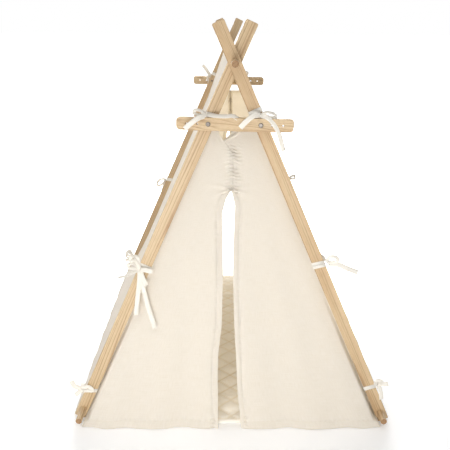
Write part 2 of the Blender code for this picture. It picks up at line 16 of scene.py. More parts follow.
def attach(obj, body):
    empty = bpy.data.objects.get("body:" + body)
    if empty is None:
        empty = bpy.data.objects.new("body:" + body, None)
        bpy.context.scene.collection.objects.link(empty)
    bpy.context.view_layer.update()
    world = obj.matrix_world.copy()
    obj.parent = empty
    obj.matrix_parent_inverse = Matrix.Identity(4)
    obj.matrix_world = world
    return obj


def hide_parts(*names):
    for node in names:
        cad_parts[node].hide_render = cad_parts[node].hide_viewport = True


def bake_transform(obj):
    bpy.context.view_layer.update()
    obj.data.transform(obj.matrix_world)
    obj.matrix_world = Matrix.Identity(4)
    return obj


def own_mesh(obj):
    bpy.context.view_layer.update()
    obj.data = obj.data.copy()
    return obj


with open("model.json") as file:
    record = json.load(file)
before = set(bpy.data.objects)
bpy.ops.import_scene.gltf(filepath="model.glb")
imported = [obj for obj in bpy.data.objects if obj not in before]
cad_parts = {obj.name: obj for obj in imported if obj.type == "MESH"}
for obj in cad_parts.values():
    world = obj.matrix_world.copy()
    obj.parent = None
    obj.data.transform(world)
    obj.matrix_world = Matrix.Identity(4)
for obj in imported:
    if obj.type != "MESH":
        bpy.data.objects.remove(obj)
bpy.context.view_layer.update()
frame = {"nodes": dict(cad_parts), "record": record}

bl_info = {
    "name": "Kids teepee",
    "version": (1, 0, 0),
    "blender": (4, 5, 0),
    "location": "3D View > Sidebar > Teepee",
    "description": "Builds a children's play teepee with its canvas cover, tied tapes and quilted mat",
    "category": "Add Mesh",
}

# Frame sizes in metres; the ridge dowel's height is the fold joint's
RIDGE_HEIGHT = frame["record"]["behaviour"]["joints"][0]["pos_m"][2]
LEG_ANGLE = math.radians(23.7)
POLE_WIDTH = 0.040
POLE_THICKNESS = 0.020
GAP = 0.0003
POLE_LAYER = POLE_THICKNESS + GAP
FRONT_Y = -0.700
DOWEL_RADIUS = 0.011
DOWEL_END = 0.768

# The sign of X on each side, and the other side
SIDES = {"right": 1, "left": -1}
OPPOSITE = {"right": "left", "left": "right"}

# Cover sizes in metres
CLOTH = 0.0012
TAPE_ROOM = 0.0016
PANEL_Y = FRONT_Y + POLE_LAYER + POLE_THICKNESS / 2 + TAPE_ROOM + CLOTH / 2
SIDE_START_Y = PANEL_Y + CLOTH / 2 + GAP
WRAP_RADIUS = DOWEL_RADIUS + GAP
SEAM_OFFSET = -0.009
SIDE_DROP = 0.260
SKIRT_HEIGHT = 0.240
SKIRT_REACH = 0.020
SKIRT_SHARES = ((0.0, 1.0), (0.15, 0.667), (0.45, 0.354), (0.725, 0.242), (0.8375, 0.158), (0.925, 0.075),
                (1.0, 0.0))
HEM_ABOVE_FLOOR = 0.0006
FIRST_ROW_HEIGHT = HEM_ABOVE_FLOOR + CLOTH / 2
COVER_TOP_HEIGHT = 1.072
LAP = 0.010
LAP_DEPTH = 0.0016
SLIT_HEIGHT = 0.855
CLOSURE_TOP_HEIGHT = 1.010
NOTCH_HEIGHT = 0.031
NOTCH_WIDTH = 0.039
FLARE_HEIGHT = 0.520
FLARE_RAMP = 0.010
FOOT_REACH = 0.017
FOOT_REACH_HEIGHT = 0.028
FOOT_HEM = 0.030
TOP_HEM = 0.014
HEM_STEP = 0.0018
FLAP_HEM_EXTRA = 0.0012
SIDE_HEM_EXTRA = 0.0009
SIDE_WELT = 0.010
SIDE_HEM_STEP = 0.0015
SIDE_SAG = 0.003

# The points of the cover's grids: rows at the foot, in the middle and over the closure, between two
# heights, and columns beside the pole and beside the free edge
FLAP_ROWS = (22, 112, 118)
FOOT_ROWS_TOP = 0.045
CLOSURE_ROWS_START = 0.835
FLAP_COLUMNS = (84, 18)
SEAM_COLUMNS = 3
ARC_ROWS = 29
FALL_ROWS = 130
SIDE_COLUMNS = 170

# Creases, puckers and stitches
CREASE_PITCH = 0.0125
CREASE_DEPTH_FRONT = 0.0105
CREASE_DEPTH_BACK = 0.0025
CREASE_REACH = 0.018
PUCKER_PITCH = 0.0175
PUCKER_DEPTH = 0.0075
FOOT_PUCKER_PITCH = 0.017
FOOT_PUCKER_DEPTH = 0.0018
LAPEL_ROLL = 0.005
LAPEL_EDGE = 0.002
LAPEL_ROLL_WIDTH = 0.006
FOOT_LIFT = 0.0019
FOOT_LIFT_HEIGHT = 0.05
FOOT_STITCH_HEIGHT = 0.028
TOP_STITCH_DROP = 0.012
STITCH_LIFT = CLOTH * 1.5

# The door slit: height in metres, x of the left and right edges in metres
SLIT_LEFT = ((0.0, -0.047), (0.188, -0.0492), (0.265, -0.048), (0.368, -0.0361), (0.554, -0.0323),
             (0.675, -0.0336), (0.775, -0.036), (0.826, -0.0234), (0.855, -0.0062))
SLIT_RIGHT = ((0.0, 0.035), (0.030, 0.032), (0.130, 0.0212), (0.265, 0.0144), (0.371, 0.0077),
              (0.554, 0.0017), (0.675, 0.0023), (0.800, 0.0061), (0.855, -0.0058))

# The line on which the flaps meet above the slits: height, x
CLOSURE_FRONT = ((0.855, -0.006), (0.890, -0.001), (0.975, -0.002), (1.010, -0.0275), (1.072, -0.029))
CLOSURE_BACK = ((0.855, -0.006), (1.072, -0.002))

# The back slit, in the same way, seen from behind the tent
BACK_SLIT_LEFT = ((0.0, -0.047), (0.188, -0.049), (0.450, -0.041), (0.600, -0.028), (0.700, -0.015),
                  (0.798, -0.0043), (0.840, -0.0045), (0.855, -0.006))
BACK_SLIT_RIGHT = ((0.0, 0.042), (0.200, 0.037), (0.450, 0.036), (0.600, 0.026), (0.700, 0.018),
                   (0.798, 0.0094), (0.840, 0.001), (0.855, -0.006))
BACK_TOP_HEIGHT = 1.030

# Mat sizes in metres, and its simulation: the sewn share of a pad and the border are pinned
MAT_LENGTH = 1.370
MAT_WIDTH = 0.980
MAT_THICKNESS = 0.012
MAT_FORWARD = 0.038
MAT_POINTS = (210, 150)
MAT_RIM_WIDTH = 0.014
MAT_RIM_DROP = 0.0035
MAT_ROUNDING = 0.005
PINNED_SHARE = 0.09
PINNED_BORDER = 0.016
SWELL_FRAMES = 14
SWELL_LIMIT = 0.006
# Width, as a share of a pad, of the painted shade along the quilting creases
CREASE_SHADE_WIDTH = 0.13

# The studio's lamps: place, size in metres and share of the key light's power
LAMPS = {
    "key_front_left": ((-0.9, -7.6, 8.4), 7.0, 1.0),
    "low_front": ((-0.2, -2.3, 0.5), 0.8, 0.054),
    "fill_right": ((4.2, -2.1, 3.4), 3.0, 0.035),
    "fill_left": ((-4.2, -1.2, 2.2), 3.0, 0.14),
    "light_back": ((0.1, 5.2, 2.0), 6.0, 1.93),
}
LAMP_TARGET = (0.0, 0.0, 0.6)
FLOOR_HALF = 50.0

# The photograph's camera, fitted: place in metres, pitch, yaw and roll in degrees, lens and sensor in mm
CAMERA_PLACE = (-0.04347, -2.70267, 1.39374)
CAMERA_ANGLES = (17.9984, 0.4772, 0.3606)
CAMERA_LENS = 51.40
CAMERA_SENSOR = 36.0


def smoothstep(value):
    """Ease values from 0 to 1."""
    value = np.clip(value, 0.0, 1.0)
    return value * value * (3 - 2 * value)


def bump(value, width):
    """A soft bell of height 1 round zero."""
    return np.exp(-((value / width) ** 2))


def srgb(code):
    """A hex colour as linear RGBA."""
    channels = [int(code[i:i + 2], 16) / 255 for i in (1, 3, 5)]
    return (*[c / 12.92 if c <= 0.04045 else ((c + 0.055) / 1.055) ** 2.4 for c in channels], 1.0)


def add_node(tree, kind, inputs=None, **settings):
    """Add one node, set its properties, and set or link its inputs."""
    made = tree.nodes.new(kind)
    for key, value in settings.items():
        setattr(made, key, value)
    for key, value in (inputs or {}).items():
        if isinstance(value, bpy.types.NodeSocket):
            tree.links.new(value, made.inputs[key])
        else:
            made.inputs[key].default_value = value
    return made


def new_material(name):
    """A material with an empty tree, its output node and its Principled shader."""
    made = bpy.data.materials.new(name)
    made.use_nodes = True
    tree = made.node_tree
    tree.nodes.clear()
    output = add_node(tree, "ShaderNodeOutputMaterial")
    shader = add_node(tree, "ShaderNodeBsdfPrincipled")
    tree.links.new(shader.outputs["BSDF"], output.inputs["Surface"])
    return made, tree, shader, output


def calculate(tree, operation, *values):
    """The result of a math node."""
    return add_node(tree, "ShaderNodeMath", dict(enumerate(values)), operation=operation).outputs[0]


def split(tree, vector):
    """The X, Y and Z of a vector."""
    return add_node(tree, "ShaderNodeSeparateXYZ", {"Vector": vector}).outputs


def stretched(tree, place, *sizes):
    """A texture place on which one unit is as long as the given size in metres, for each axis."""
    scale = tuple(1 / size for size in sizes)
    return add_node(tree, "ShaderNodeMapping", {"Vector": place, "Scale": scale}).outputs[0]


def noise(tree, place, detail, **inputs):
    """An uneven value over a stretched texture place."""
    inputs = {"Vector": place, "Scale": 1.0, "Detail": detail, **inputs}
    return add_node(tree, "ShaderNodeTexNoise", inputs).outputs["Fac"]


def ranged(tree, value, start, end, low, high):
    """A value whose range from start to end is brought onto low to high, and held there."""
    return add_node(tree, "ShaderNodeMapRange", {"Value": value, "From Min": start, "From Max": end,
                                                 "To Min": low, "To Max": high}).outputs[0]


def colour_ramp(tree, factor, stops):
    """A colour ramp over (place, hex colour) stops."""
    ramp = add_node(tree, "ShaderNodeValToRGB", {"Fac": factor})
    elements = ramp.color_ramp.elements
    while len(elements) < len(stops):
        elements.new(0.5)
    for element, (place, code) in zip(elements, stops):
        element.position = place
        element.color = srgb(code)
    return ramp.outputs["Color"]


def mixed(tree, factor, first, second, blend_type="MIX"):
    """Mix two colours."""
    made = add_node(tree, "ShaderNodeMix", {0: factor, 6: first, 7: second}, data_type="RGBA",
                    blend_type=blend_type)
    return made.outputs[2]


def pine(name, turn, pale, mid, streak, end=None):
    """Planed pine with a clear matt lacquer: long straight grain, darker late-wood lines, fine pores.

    turn brings the board's length onto the texture's Z. Beyond end metres along Y lies darker end grain.
    """
    made, tree, shader, _ = new_material(name)
    place = add_node(tree, "ShaderNodeTexCoord").outputs["Object"]
    along = add_node(tree, "ShaderNodeMapping", {"Vector": place, "Rotation": turn}).outputs[0]
    tone = noise(tree, stretched(tree, along, 0.030, 0.060, 0.60), 2.0, Distortion=0.2)
    wander = noise(tree, stretched(tree, along, 0.045, 0.045, 1.1), 1.5, Roughness=0.4)
    uneven = noise(tree, stretched(tree, along, 0.014, 0.014, 0.7), 0.0)
    pores = noise(tree, stretched(tree, along, 0.0008, 0.0012, 0.020), 1.0)

    # The year rings are cut across the board, and their spacing and direction wander along it.
    board = split(tree, stretched(tree, along, 0.0105, 0.016, 1.0))
    flat = calculate(tree, "ADD", board["X"], board["Y"])
    spaced = calculate(tree, "MULTIPLY_ADD", uneven, 1.6, flat)
    lines = calculate(tree, "FRACT", calculate(tree, "MULTIPLY_ADD", wander, 5.0, spaced))
    late = colour_ramp(tree, lines, ((0.10, "#000000"), (0.55, "#4a4a4a"), (0.86, "#e8e8e8"),
                                     (0.97, "#202020")))
    shown = calculate(tree, "MULTIPLY", late, ranged(tree, uneven, 0.35, 0.65, 0.35, 1.0))
    ground = colour_ramp(tree, tone, ((0.32, mid), (0.62, pale)))
    wood = mixed(tree, shown, ground, srgb(streak))
    fine = colour_ramp(tree, pores, ((0.34, "#d9cdbb"), (0.50, "#ffffff")))
    face = mixed(tree, 0.35, wood, mixed(tree, 1.0, wood, fine, "MULTIPLY"))
    if end is not None:
        far = calculate(tree, "ABSOLUTE", split(tree, place)["Y"])
        cut = calculate(tree, "GREATER_THAN", far, end)
        face = mixed(tree, cut, face, mixed(tree, 1.0, face, srgb("#c9b6a4"), "MULTIPLY"))
    tree.links.new(face, shader.inputs["Base Color"])
    shader.inputs["Roughness"].default_value = 0.52
    relief = add_node(tree, "ShaderNodeBump", {"Strength": 0.25, "Distance": 0.0002, "Height": lines})
    tree.links.new(relief.outputs["Normal"], shader.inputs["Normal"])
    return made


def cotton(name, base, slub, glow, pitch, through, relief_depth, twill=False):
    """Woven cotton: warp and weft threads, uneven slubs, a soft nap, and warmer light passing through.

    Its layer attribute counts the extra cloth in the hems, which lets less light through. In cloth that
    passes no light it carries painted shade along the sewn creases instead, and glow is the colour of that
    painted shade.
    """
    made, tree, shader, output = new_material(name)
    uv = add_node(tree, "ShaderNodeUVMap", uv_map="Cloth").outputs["UV"]
    parts = split(tree, uv)

    def threads(distance):
        turns = calculate(tree, "MULTIPLY", distance, 2 * math.pi / pitch)
        return calculate(tree, "SINE", turns)

    if twill:
        weave = threads(calculate(tree, "ADD", parts["X"], parts["Y"]))
    else:
        weave = calculate(tree, "MULTIPLY", threads(parts["X"]), threads(parts["Y"]))
    slubs = [noise(tree, stretched(tree, uv, *sizes, 1.0), 2.0)
             for sizes in ((0.0016, 0.030), (0.030, 0.0016))]
    uneven = calculate(tree, "ADD", *slubs)
    tint = colour_ramp(tree, calculate(tree, "MULTIPLY", uneven, 0.5), ((0.36, slub), (0.60, base)))
    tree.links.new(tint, shader.inputs["Base Color"])
    for socket, value in (("Roughness", 0.92), ("Specular IOR Level", 0.15), ("Sheen Weight", 0.25),
                          ("Sheen Roughness", 0.5)):
        shader.inputs[socket].default_value = value
    height = calculate(tree, "ADD", calculate(tree, "MULTIPLY", weave, 0.35), uneven)
    relief = add_node(tree, "ShaderNodeBump", {"Strength": 0.35, "Distance": relief_depth,
                                               "Height": height}).outputs["Normal"]
    tree.links.new(relief, shader.inputs["Normal"])
    layers_and_shade = add_node(tree, "ShaderNodeAttribute", attribute_name="LayersAndCreaseShade").outputs["Fac"]
    # Cloth that passes no light is darkened towards glow by painted shade along its sewn creases
    if through == 0:
        tree.links.new(mixed(tree, layers_and_shade, tint, srgb(glow)), shader.inputs["Base Color"])
    else:
        held_back = calculate(tree, "MULTIPLY", layers_and_shade, 0.08)
        passing = calculate(tree, "MULTIPLY", calculate(tree, "SUBTRACT", 1.0, held_back), through)
        deeper = mixed(tree, layers_and_shade, srgb(glow), srgb("#f7ecd8"))
        light = add_node(tree, "ShaderNodeBsdfTranslucent", {"Color": deeper, "Normal": relief})
        blend = add_node(tree, "ShaderNodeMixShader", {0: passing, 1: shader.outputs[0],
                                                       2: light.outputs[0]})
        tree.links.new(blend.outputs[0], output.inputs["Surface"])
    return made


def bronzed_steel(name, colour):
    """Turned steel with a dark bronzed finish."""
    made, tree, shader, _ = new_material(name)
    coordinates = add_node(tree, "ShaderNodeTexCoord").outputs["Object"]
    wear = add_node(tree, "ShaderNodeTexNoise", {"Vector": coordinates, "Scale": 900.0,
                                                 "Detail": 2.0}).outputs["Fac"]
    tree.links.new(colour_ramp(tree, wear, ((0.35, colour), (0.7, "#8d8780"))), shader.inputs["Base Color"])
    shader.inputs["Metallic"].default_value = 1.0
    shader.inputs["Roughness"].default_value = 0.38
    return made


MATERIALS = {}


def surface(name, make, *values, **options):
    """Make a material once."""
    if name not in MATERIALS:
        MATERIALS[name] = make(name, *values, **options)
    return MATERIALS[name]


# Each cloth's material: name, base, slub and glow colours (on cloth that passes no light, glow is the
# painted shade along sewn creases), thread pitch in metres, share of light passing through, relief depth in
# metres and, for the tapes, twill weave
CLOTHS = {
    "canvas": ("natural_cotton_canvas_plain_woven", "#efece6", "#e6e2d9", "#fcf4e6", 0.0011, 0.40, 0.0003),
    "tape": ("natural_cotton_tape_twill_woven", "#f5f1e8", "#eae3d6", "#f6ecd8", 0.0016, 0.08, 0.0004,
             True),
    # The mat's glow colour is the painted shade along its quilting creases
    "mat": ("quilted_cotton_beige_plain_woven", "#fdfaf3", "#f8f1e3", "#eadfc8", 0.0012, 0.0, 0.0003),
    "thread": ("cotton_thread_twisted_natural", "#f6f0e2", "#ece2cf", "#f6f0e2", 0.0008, 0.0, 0.0001),
}


def cloth(kind):
    """The material of one of the cloths."""
    name, *values = CLOTHS[kind]
    return surface(name, cotton, *values)


def link(name, mesh):
    """A new object at the origin in the scene."""
    made = bpy.data.objects.new(name, mesh)
    bpy.context.scene.collection.objects.link(made)
    return made


def grid_normals(points):
    """Unit normals of a grid of points, along rows crossed with columns."""
    normal = np.cross(np.gradient(points, axis=1), np.gradient(points, axis=0))
    length = np.linalg.norm(normal, axis=2, keepdims=True)
    return normal / np.maximum(length, 1e-12)


def lengths(points, axis):
    """How far each point of a grid or a line lies from its start, along one axis."""
    steps = np.cumsum(np.linalg.norm(np.diff(points, axis=axis), axis=-1), axis=axis)
    return np.concatenate((np.zeros_like(np.take(steps, [0], axis=axis)), steps), axis=axis)


def closed_quads(rows, columns, flipped=False):
    """Quads of a closed sheet: a grid of points, the same grid under it and the rim between them."""
    index = np.arange(rows * columns).reshape(rows, columns)
    a, b = index[:-1, :-1].ravel(), index[:-1, 1:].ravel()
    c, d = index[1:, 1:].ravel(), index[1:, :-1].ravel()
    face = np.stack((a, d, c, b) if flipped else (a, b, c, d), 1)
    ring = np.concatenate((index[0, :-1], index[:-1, -1], index[-1, :0:-1], index[:0:-1, 0]))
    after = np.roll(ring, -1)
    rim = np.stack((ring, ring + index.size, after + index.size, after), 1)
    return np.concatenate((face, face[:, ::-1] + index.size, rim[:, ::-1] if flipped else rim))


def closed_sheet(upper, under, uv, quads):
    """Vertices, quads and loop UVs of a closed sheet, from the grids of its two faces and their UVs."""
    uv = uv.reshape(-1, 2)
    vertices = np.concatenate((upper.reshape(-1, 3), under.reshape(-1, 3)))
    return vertices, quads, np.concatenate((uv, uv))[quads.ravel()]


def sheet_data(points, thickness, out):
    """The data of a closed thin sheet round a grid of middle points.

    UVs are lengths along the cloth in metres. out is the side on which extra thickness lies.
    """
    normals = grid_normals(points) * out
    across = lengths(points, 1).mean(axis=0)[None, :]
    along = lengths(points, 0).mean(axis=1)[:, None]
    return closed_sheet(points + normals * (thickness[..., None] - CLOTH / 2),
                        points - normals * CLOTH / 2, np.stack(np.broadcast_arrays(across, along), 2),
                        closed_quads(*points.shape[:2], flipped=out < 0))


def mesh_from(name, pieces):
    """One smooth mesh with a Cloth UV map, from (vertices, quads, loop UVs) pieces."""
    vertices, faces, uvs, base = [], [], [], 0
    for points, quads, corners in pieces:
        vertices.append(points)
        faces.append(quads + base)
        uvs.append(corners)
        base += len(points)
    vertices, faces, uvs = np.concatenate(vertices), np.concatenate(faces), np.concatenate(uvs)
    mesh = bpy.data.meshes.new(name)
    mesh.vertices.add(len(vertices))
    mesh.vertices.foreach_set("co", vertices.astype(np.float32).ravel())
    mesh.loops.add(faces.size)
    mesh.loops.foreach_set("vertex_index", faces.ravel().astype(np.int32))
    mesh.polygons.add(len(faces))
    mesh.polygons.foreach_set("loop_start", (np.arange(len(faces)) * 4).astype(np.int32))
    layer = mesh.uv_layers.new(name="Cloth")
    layer.data.foreach_set("uv", uvs.astype(np.float32).ravel())
    mesh.validate()
    mesh.update(calc_edges=True)
    mesh.shade_smooth()
    return mesh


def mark_layers_and_crease_shade(mesh, layers_and_shade):
    """Store how much extra cloth lies at each point, on both faces of a sheet; on the mat it stores the
    painted shade along the quilting creases instead.
    """
    values = layers_and_shade.astype(np.float32).ravel()
    made = mesh.attributes.new("LayersAndCreaseShade", "FLOAT", "POINT")
    made.data.foreach_set("value", np.concatenate((values, values)))


def canvas_sheet(name, points, hems, extra, out):
    """The object of a canvas sheet that is thicker where its hems lie."""
    made = link(name, mesh_from(name, [sheet_data(points, CLOTH + extra * hems, out)]))
    made.data.materials.append(cloth("canvas"))
    mark_layers_and_crease_shade(made.data, hems)
    return made


def leg_line(side, offset, height):
    """X of a line beside a leg's middle line, at one height; a positive offset lies outside."""
    return side * ((RIDGE_HEIGHT - height) * math.tan(LEG_ANGLE) + offset / math.cos(LEG_ANGLE))


def read_table(table, height):
    """The value at a height in a table of (height, value) pairs."""
    return np.interp(height, [at for at, _ in table], [value for _, value in table])


def closure_x(height, front):
    """X of the line on which the two flaps meet above the slit."""
    return read_table(CLOSURE_FRONT if front else CLOSURE_BACK, height)


def door_edge(side, height, front):
    """X of a flap's free edge: the slit, the gathered closure and the front's notch above it.

    Above the slit the right flap lies a little way under the left one.
    """
    tables = (SLIT_LEFT, SLIT_RIGHT) if front else (BACK_SLIT_LEFT, BACK_SLIT_RIGHT)
    opened = notch_share(height) * front
    lap = LAP * smoothstep((height - SLIT_HEIGHT) / 0.006) * (1 - opened) * (side > 0)
    above = closure_x(height, front) + side * (opened * NOTCH_WIDTH / 2 - lap)
    return np.where(height < SLIT_HEIGHT, read_table(tables[side > 0], height), above)


def notch_share(height, least=0.0):
    """How far the notch has opened at a height."""
    return np.clip((height - CLOSURE_TOP_HEIGHT) / NOTCH_HEIGHT, least, 1.0)


def closure_creases(x, height, front):
    """How far the drawn closure's creases stand forward of the cloth.

    The front's lie round the tent's middle, and the back's round the line on which the flaps meet.
    """
    inside = (smoothstep((height - SLIT_HEIGHT + 0.02) / 0.03)
              * smoothstep((CLOSURE_TOP_HEIGHT + 0.005 - height) / 0.03))
    off = x if front else x - closure_x(height, front)
    crease = height * 2 * math.pi / CREASE_PITCH + 1.2 * np.sin(height * 71) + 80 * np.abs(off)
    crease = crease + 0.7 * np.sin(260 * off + 83 * height)
    ragged = 0.60 + 0.40 * np.sin(height * 97 + 1.0 + 110 * off)
    depth = CREASE_DEPTH_FRONT if front else CREASE_DEPTH_BACK
    gathered = depth * (1 - np.abs(np.sin(crease / 2))) * ragged + 0.0007 * np.sin(2.3 * crease + 150 * off)
    return inside * bump(off, CREASE_REACH) * gathered


def fanned_folds(x, height, front):
    """How far the folds that fan out from the slit's top stand forward of the cloth."""
    beside = np.abs(x - closure_x(height, front))
    reach = np.hypot(beside, height - SLIT_HEIGHT)
    lean = np.arctan2(SLIT_HEIGHT + 0.006 - height, beside + 1e-6)
    fan = sum(depth * bump(lean - at, width) for at, width, depth in
              ((0.50, 0.20, 0.014), (-0.12, 0.13, 0.008), (1.15, 0.14, 0.009)))
    return fan * smoothstep(reach / 0.008) * np.exp(-reach / 0.034)


def flap_heights(front):
    """The heights of a flap's rows, closer at the foot and over the gathered closure."""
    low_rows, middle_rows, top_rows = FLAP_ROWS
    top = COVER_TOP_HEIGHT if front else BACK_TOP_HEIGHT
    return np.concatenate((np.linspace(FIRST_ROW_HEIGHT, FOOT_ROWS_TOP, low_rows, endpoint=False),
                           np.linspace(FOOT_ROWS_TOP, CLOSURE_ROWS_START, middle_rows, endpoint=False),
                           np.linspace(CLOSURE_ROWS_START, top, top_rows)))[:, None]


def flap_columns(wide):
    """How far each column of a flap lies from the pole, closer beside the free edge."""
    border = np.minimum(0.030, 0.6 * wide)
    first = np.linspace(0.0, 1.0, FLAP_COLUMNS[0], endpoint=False)[None, :]
    last = np.linspace(0.0, 1.0, FLAP_COLUMNS[1])[None, :]
    return np.concatenate((first * (wide - border), wide - border + last * border), axis=1)


def hanging_folds(side, settings, height, x, share):
    """How far the flare, the hanging folds and a soft unevenness stand forward."""
    down = np.maximum(0.0, 1 - height / FLARE_HEIGHT)
    hanging = smoothstep(1 - height / CLOSURE_TOP_HEIGHT)
    wave = 0.5 + 0.5 * np.sin(share * 5 * math.pi + 0.6 * np.sin(height * 4.0 + side))
    soft = np.sin(9 * x + 5 * height + side) * np.sin(7 * height - 6 * x)
    soft = soft + 0.5 * np.sin(17 * height + 11 * x)
    forward = settings.flare * down ** 1.6
    forward = forward + (settings.fold * hanging + 0.007 * down ** 2) * wave * smoothstep(share / 0.2)
    return forward + 0.0025 * (1.5 + soft) * hanging * smoothstep(share / 0.3)


def flap_points(side, settings, front):
    """A grid of middle points of one flap, the distance from its free edge, and its hems' share.

    A back flap comes out at the front end too, and is turned to its place afterwards.
    """
    height = flap_heights(front)
    start = leg_line(side, -POLE_WIDTH / 2 - TAPE_ROOM - CLOTH, height)
    wide = np.abs(door_edge(side, height, front) - start)
    from_start = flap_columns(wide)
    x = start - side * from_start
    share = from_start / wide
    to_edge = wide - from_start
    low = height < SLIT_HEIGHT
    forward = (hanging_folds(side, settings, height, x, share) + closure_creases(x, height, front)
               + fanned_folds(x, height, front))

    # The puckers beside the slit's hem and over the foot's, the lap and the turned-back lapel
    pucker = np.abs(np.sin(height * math.pi / PUCKER_PITCH + 1.3 * np.sin(height * 31) + side))
    forward = forward + low * bump(to_edge - settings.hem, 0.0060) * PUCKER_DEPTH * (pucker - 1.0)
    along_foot = np.sin(x * 2 * math.pi / FOOT_PUCKER_PITCH)
    forward = forward + bump(height - FOOT_HEM, 0.007) * FOOT_PUCKER_DEPTH * along_foot
    forward = forward - LAP_DEPTH * (side > 0) * (~low) * smoothstep((LAP + 0.010 - to_edge) / 0.008)
    lapel = settings.lapel * notch_share(height, 0.12) * (side > 0)
    turned_back = smoothstep((height - CLOSURE_TOP_HEIGHT) / 0.006) * front
    roll = LAPEL_ROLL * bump(to_edge - lapel, LAPEL_ROLL_WIDTH)
    forward = forward + turned_back * (roll - LAPEL_EDGE * bump(to_edge, LAPEL_ROLL_WIDTH))

    # The cloth comes free of the pole; its foot reaches round the pole and lifts off the floor in waves.
    free = smoothstep(from_start * math.cos(LEG_ANGLE) / FLARE_RAMP)
    y = PANEL_Y - free * forward
    foot = smoothstep((FOOT_REACH_HEIGHT - height) / 0.012)
    x = x + side * FOOT_REACH * foot * free * np.exp(-from_start / 0.05)
    lifted = FOOT_LIFT * (1 + np.sin(share * 9.4 * math.pi + side))
    lifted = lifted * smoothstep((FOOT_LIFT_HEIGHT - height) / FOOT_LIFT_HEIGHT)
    z = height + lifted * smoothstep(from_start / 0.03)

    # The strip behind the pole, from the corner seam to the flap
    seam = leg_line(side, SEAM_OFFSET, height)
    behind = np.linspace(0.0, 1.0, SEAM_COLUMNS, endpoint=False)[None, :]
    strip = np.ones((len(height), SEAM_COLUMNS))
    x = np.concatenate((seam + (start - seam) * behind, x), axis=1)
    y = np.concatenate((strip * PANEL_Y, y), axis=1)
    z = np.concatenate((strip * height, z), axis=1)
    inset = np.concatenate((strip, to_edge), axis=1)
    hems = smoothstep((settings.hem - inset) / HEM_STEP) * np.where(low | (not front), 1.0, 0.0)
    lapels = np.concatenate((strip * 0.0, turned_back * smoothstep((lapel - to_edge) / 0.002)), axis=1)
    for other in (lapels, smoothstep((FOOT_HEM - height) / HEM_STEP),
                  smoothstep((height - height[-1] + TOP_HEM) / HEM_STEP)):
        hems = np.maximum(hems, other)
    return np.stack((x, y, z), axis=2), inset, hems


def turned(points):
    """Points of the front end turned half round about Z, to the back end."""
    return points * np.array((-1.0, -1.0, 1.0))


def leg_squash(obj):
    """Give a flap its own copy of its mesh."""
    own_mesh(obj)


def stitch_nodes():
    """A Geometry Nodes group that sews stitches along edge lines."""
    group = bpy.data.node_groups.get("Sewn stitches")
    if group is not None:
        return group
    group = bpy.data.node_groups.new("Sewn stitches", "GeometryNodeTree")
    for name, kind in (("Geometry", "Geometry"), ("Pitch", "Float"), ("Stitch length", "Float"),
                       ("Thread width", "Float"), ("Material", "Material")):
        group.interface.new_socket(name, in_out="INPUT", socket_type="NodeSocket" + kind)
    group.interface.new_socket("Geometry", in_out="OUTPUT", socket_type="NodeSocketGeometry")
    given = add_node(group, "NodeGroupInput").outputs
    line = add_node(group, "GeometryNodeMeshToCurve", {"Mesh": given["Geometry"]})
    places = add_node(group, "GeometryNodeCurveToPoints", {"Curve": line.outputs[0],
                                                           "Length": given["Pitch"]}, mode="LENGTH")
    bead = add_node(group, "GeometryNodeMeshUVSphere", {"Segments": 6, "Rings": 4, "Radius": 0.5})
    width = given["Thread width"]
    shape = add_node(group, "ShaderNodeCombineXYZ", {0: width, 1: width, 2: given["Stitch length"]})
    sewn = add_node(group, "GeometryNodeInstanceOnPoints", {
        "Points": places.outputs["Points"], "Instance": bead.outputs["Mesh"],
        "Rotation": places.outputs["Rotation"], "Scale": shape.outputs[0]})
    real = add_node(group, "GeometryNodeRealizeInstances", {"Geometry": sewn.outputs[0]})
    painted = add_node(group, "GeometryNodeSetMaterial", {"Geometry": real.outputs[0],
                                                          "Material": given["Material"]})
    add_node(group, "NodeGroupOutput", {"Geometry": painted.outputs[0]})
    return group


def stitches(name, lines, settings):
    """One plain mesh of stitches along lines of points."""
    points, edges = [], []
    for line in lines:
        edges += [(len(points) + i, len(points) + i + 1) for i in range(len(line) - 1)]
        points += [tuple(p) for p in line]
    mesh = bpy.data.meshes.new(name + "_line")
    mesh.from_pydata(points, edges, [])
    guide = link(name + "_line", mesh)
    group = stitch_nodes()
    modifier = guide.modifiers.new("Stitches", "NODES")
    modifier.node_group = group
    values = {"Pitch": settings.pitch, "Stitch length": settings.length,
              "Thread width": settings.thickness, "Material": cloth("thread")}
    for item in group.interface.items_tree:
        if item.item_type == "SOCKET" and item.in_out == "INPUT" and item.name in values:
            modifier[item.identifier] = values[item.name]
    bpy.context.view_layer.update()
    evaluated = guide.evaluated_get(bpy.context.evaluated_depsgraph_get())
    plain = bpy.data.meshes.new_from_object(evaluated)
    plain.name = name
    bpy.data.objects.remove(guide)
    bpy.data.meshes.remove(mesh)
    if "Cloth" not in plain.uv_layers:
        plain.uv_layers.new(name="Cloth")
    plain.shade_smooth()
    return link(name, plain)


def line_at(points, values, value, lift):
    """The line across a grid's rows where a value is reached, lifted off the surface."""
    normals = grid_normals(points)
    line = []
    for row, held, out in zip(points, values, normals):
        after = np.argmax(held <= value)
        if after == 0:
            continue
        low, high = held[after], held[after - 1]
        t = (value - low) / max(high - low, 1e-9)
        line.append(row[after] * (1 - t) + row[after - 1] * t + out[after] * lift)
    return np.array(line)


class TEEPEE_PG_sewing(bpy.types.PropertyGroup):
    """Sizes of the stitches."""

    pitch: bpy.props.FloatProperty(
        name="Stitch pitch", description="Distance from one stitch to the next", default=0.0042, min=0.001,
        unit="LENGTH")
    length: bpy.props.FloatProperty(
        name="Stitch length", description="Length of one stitch", default=0.0032, min=0.0005, unit="LENGTH")
    thickness: bpy.props.FloatProperty(
        name="Thread width", description="Width of the sewing thread", default=0.0007, min=0.0002,
        unit="LENGTH")


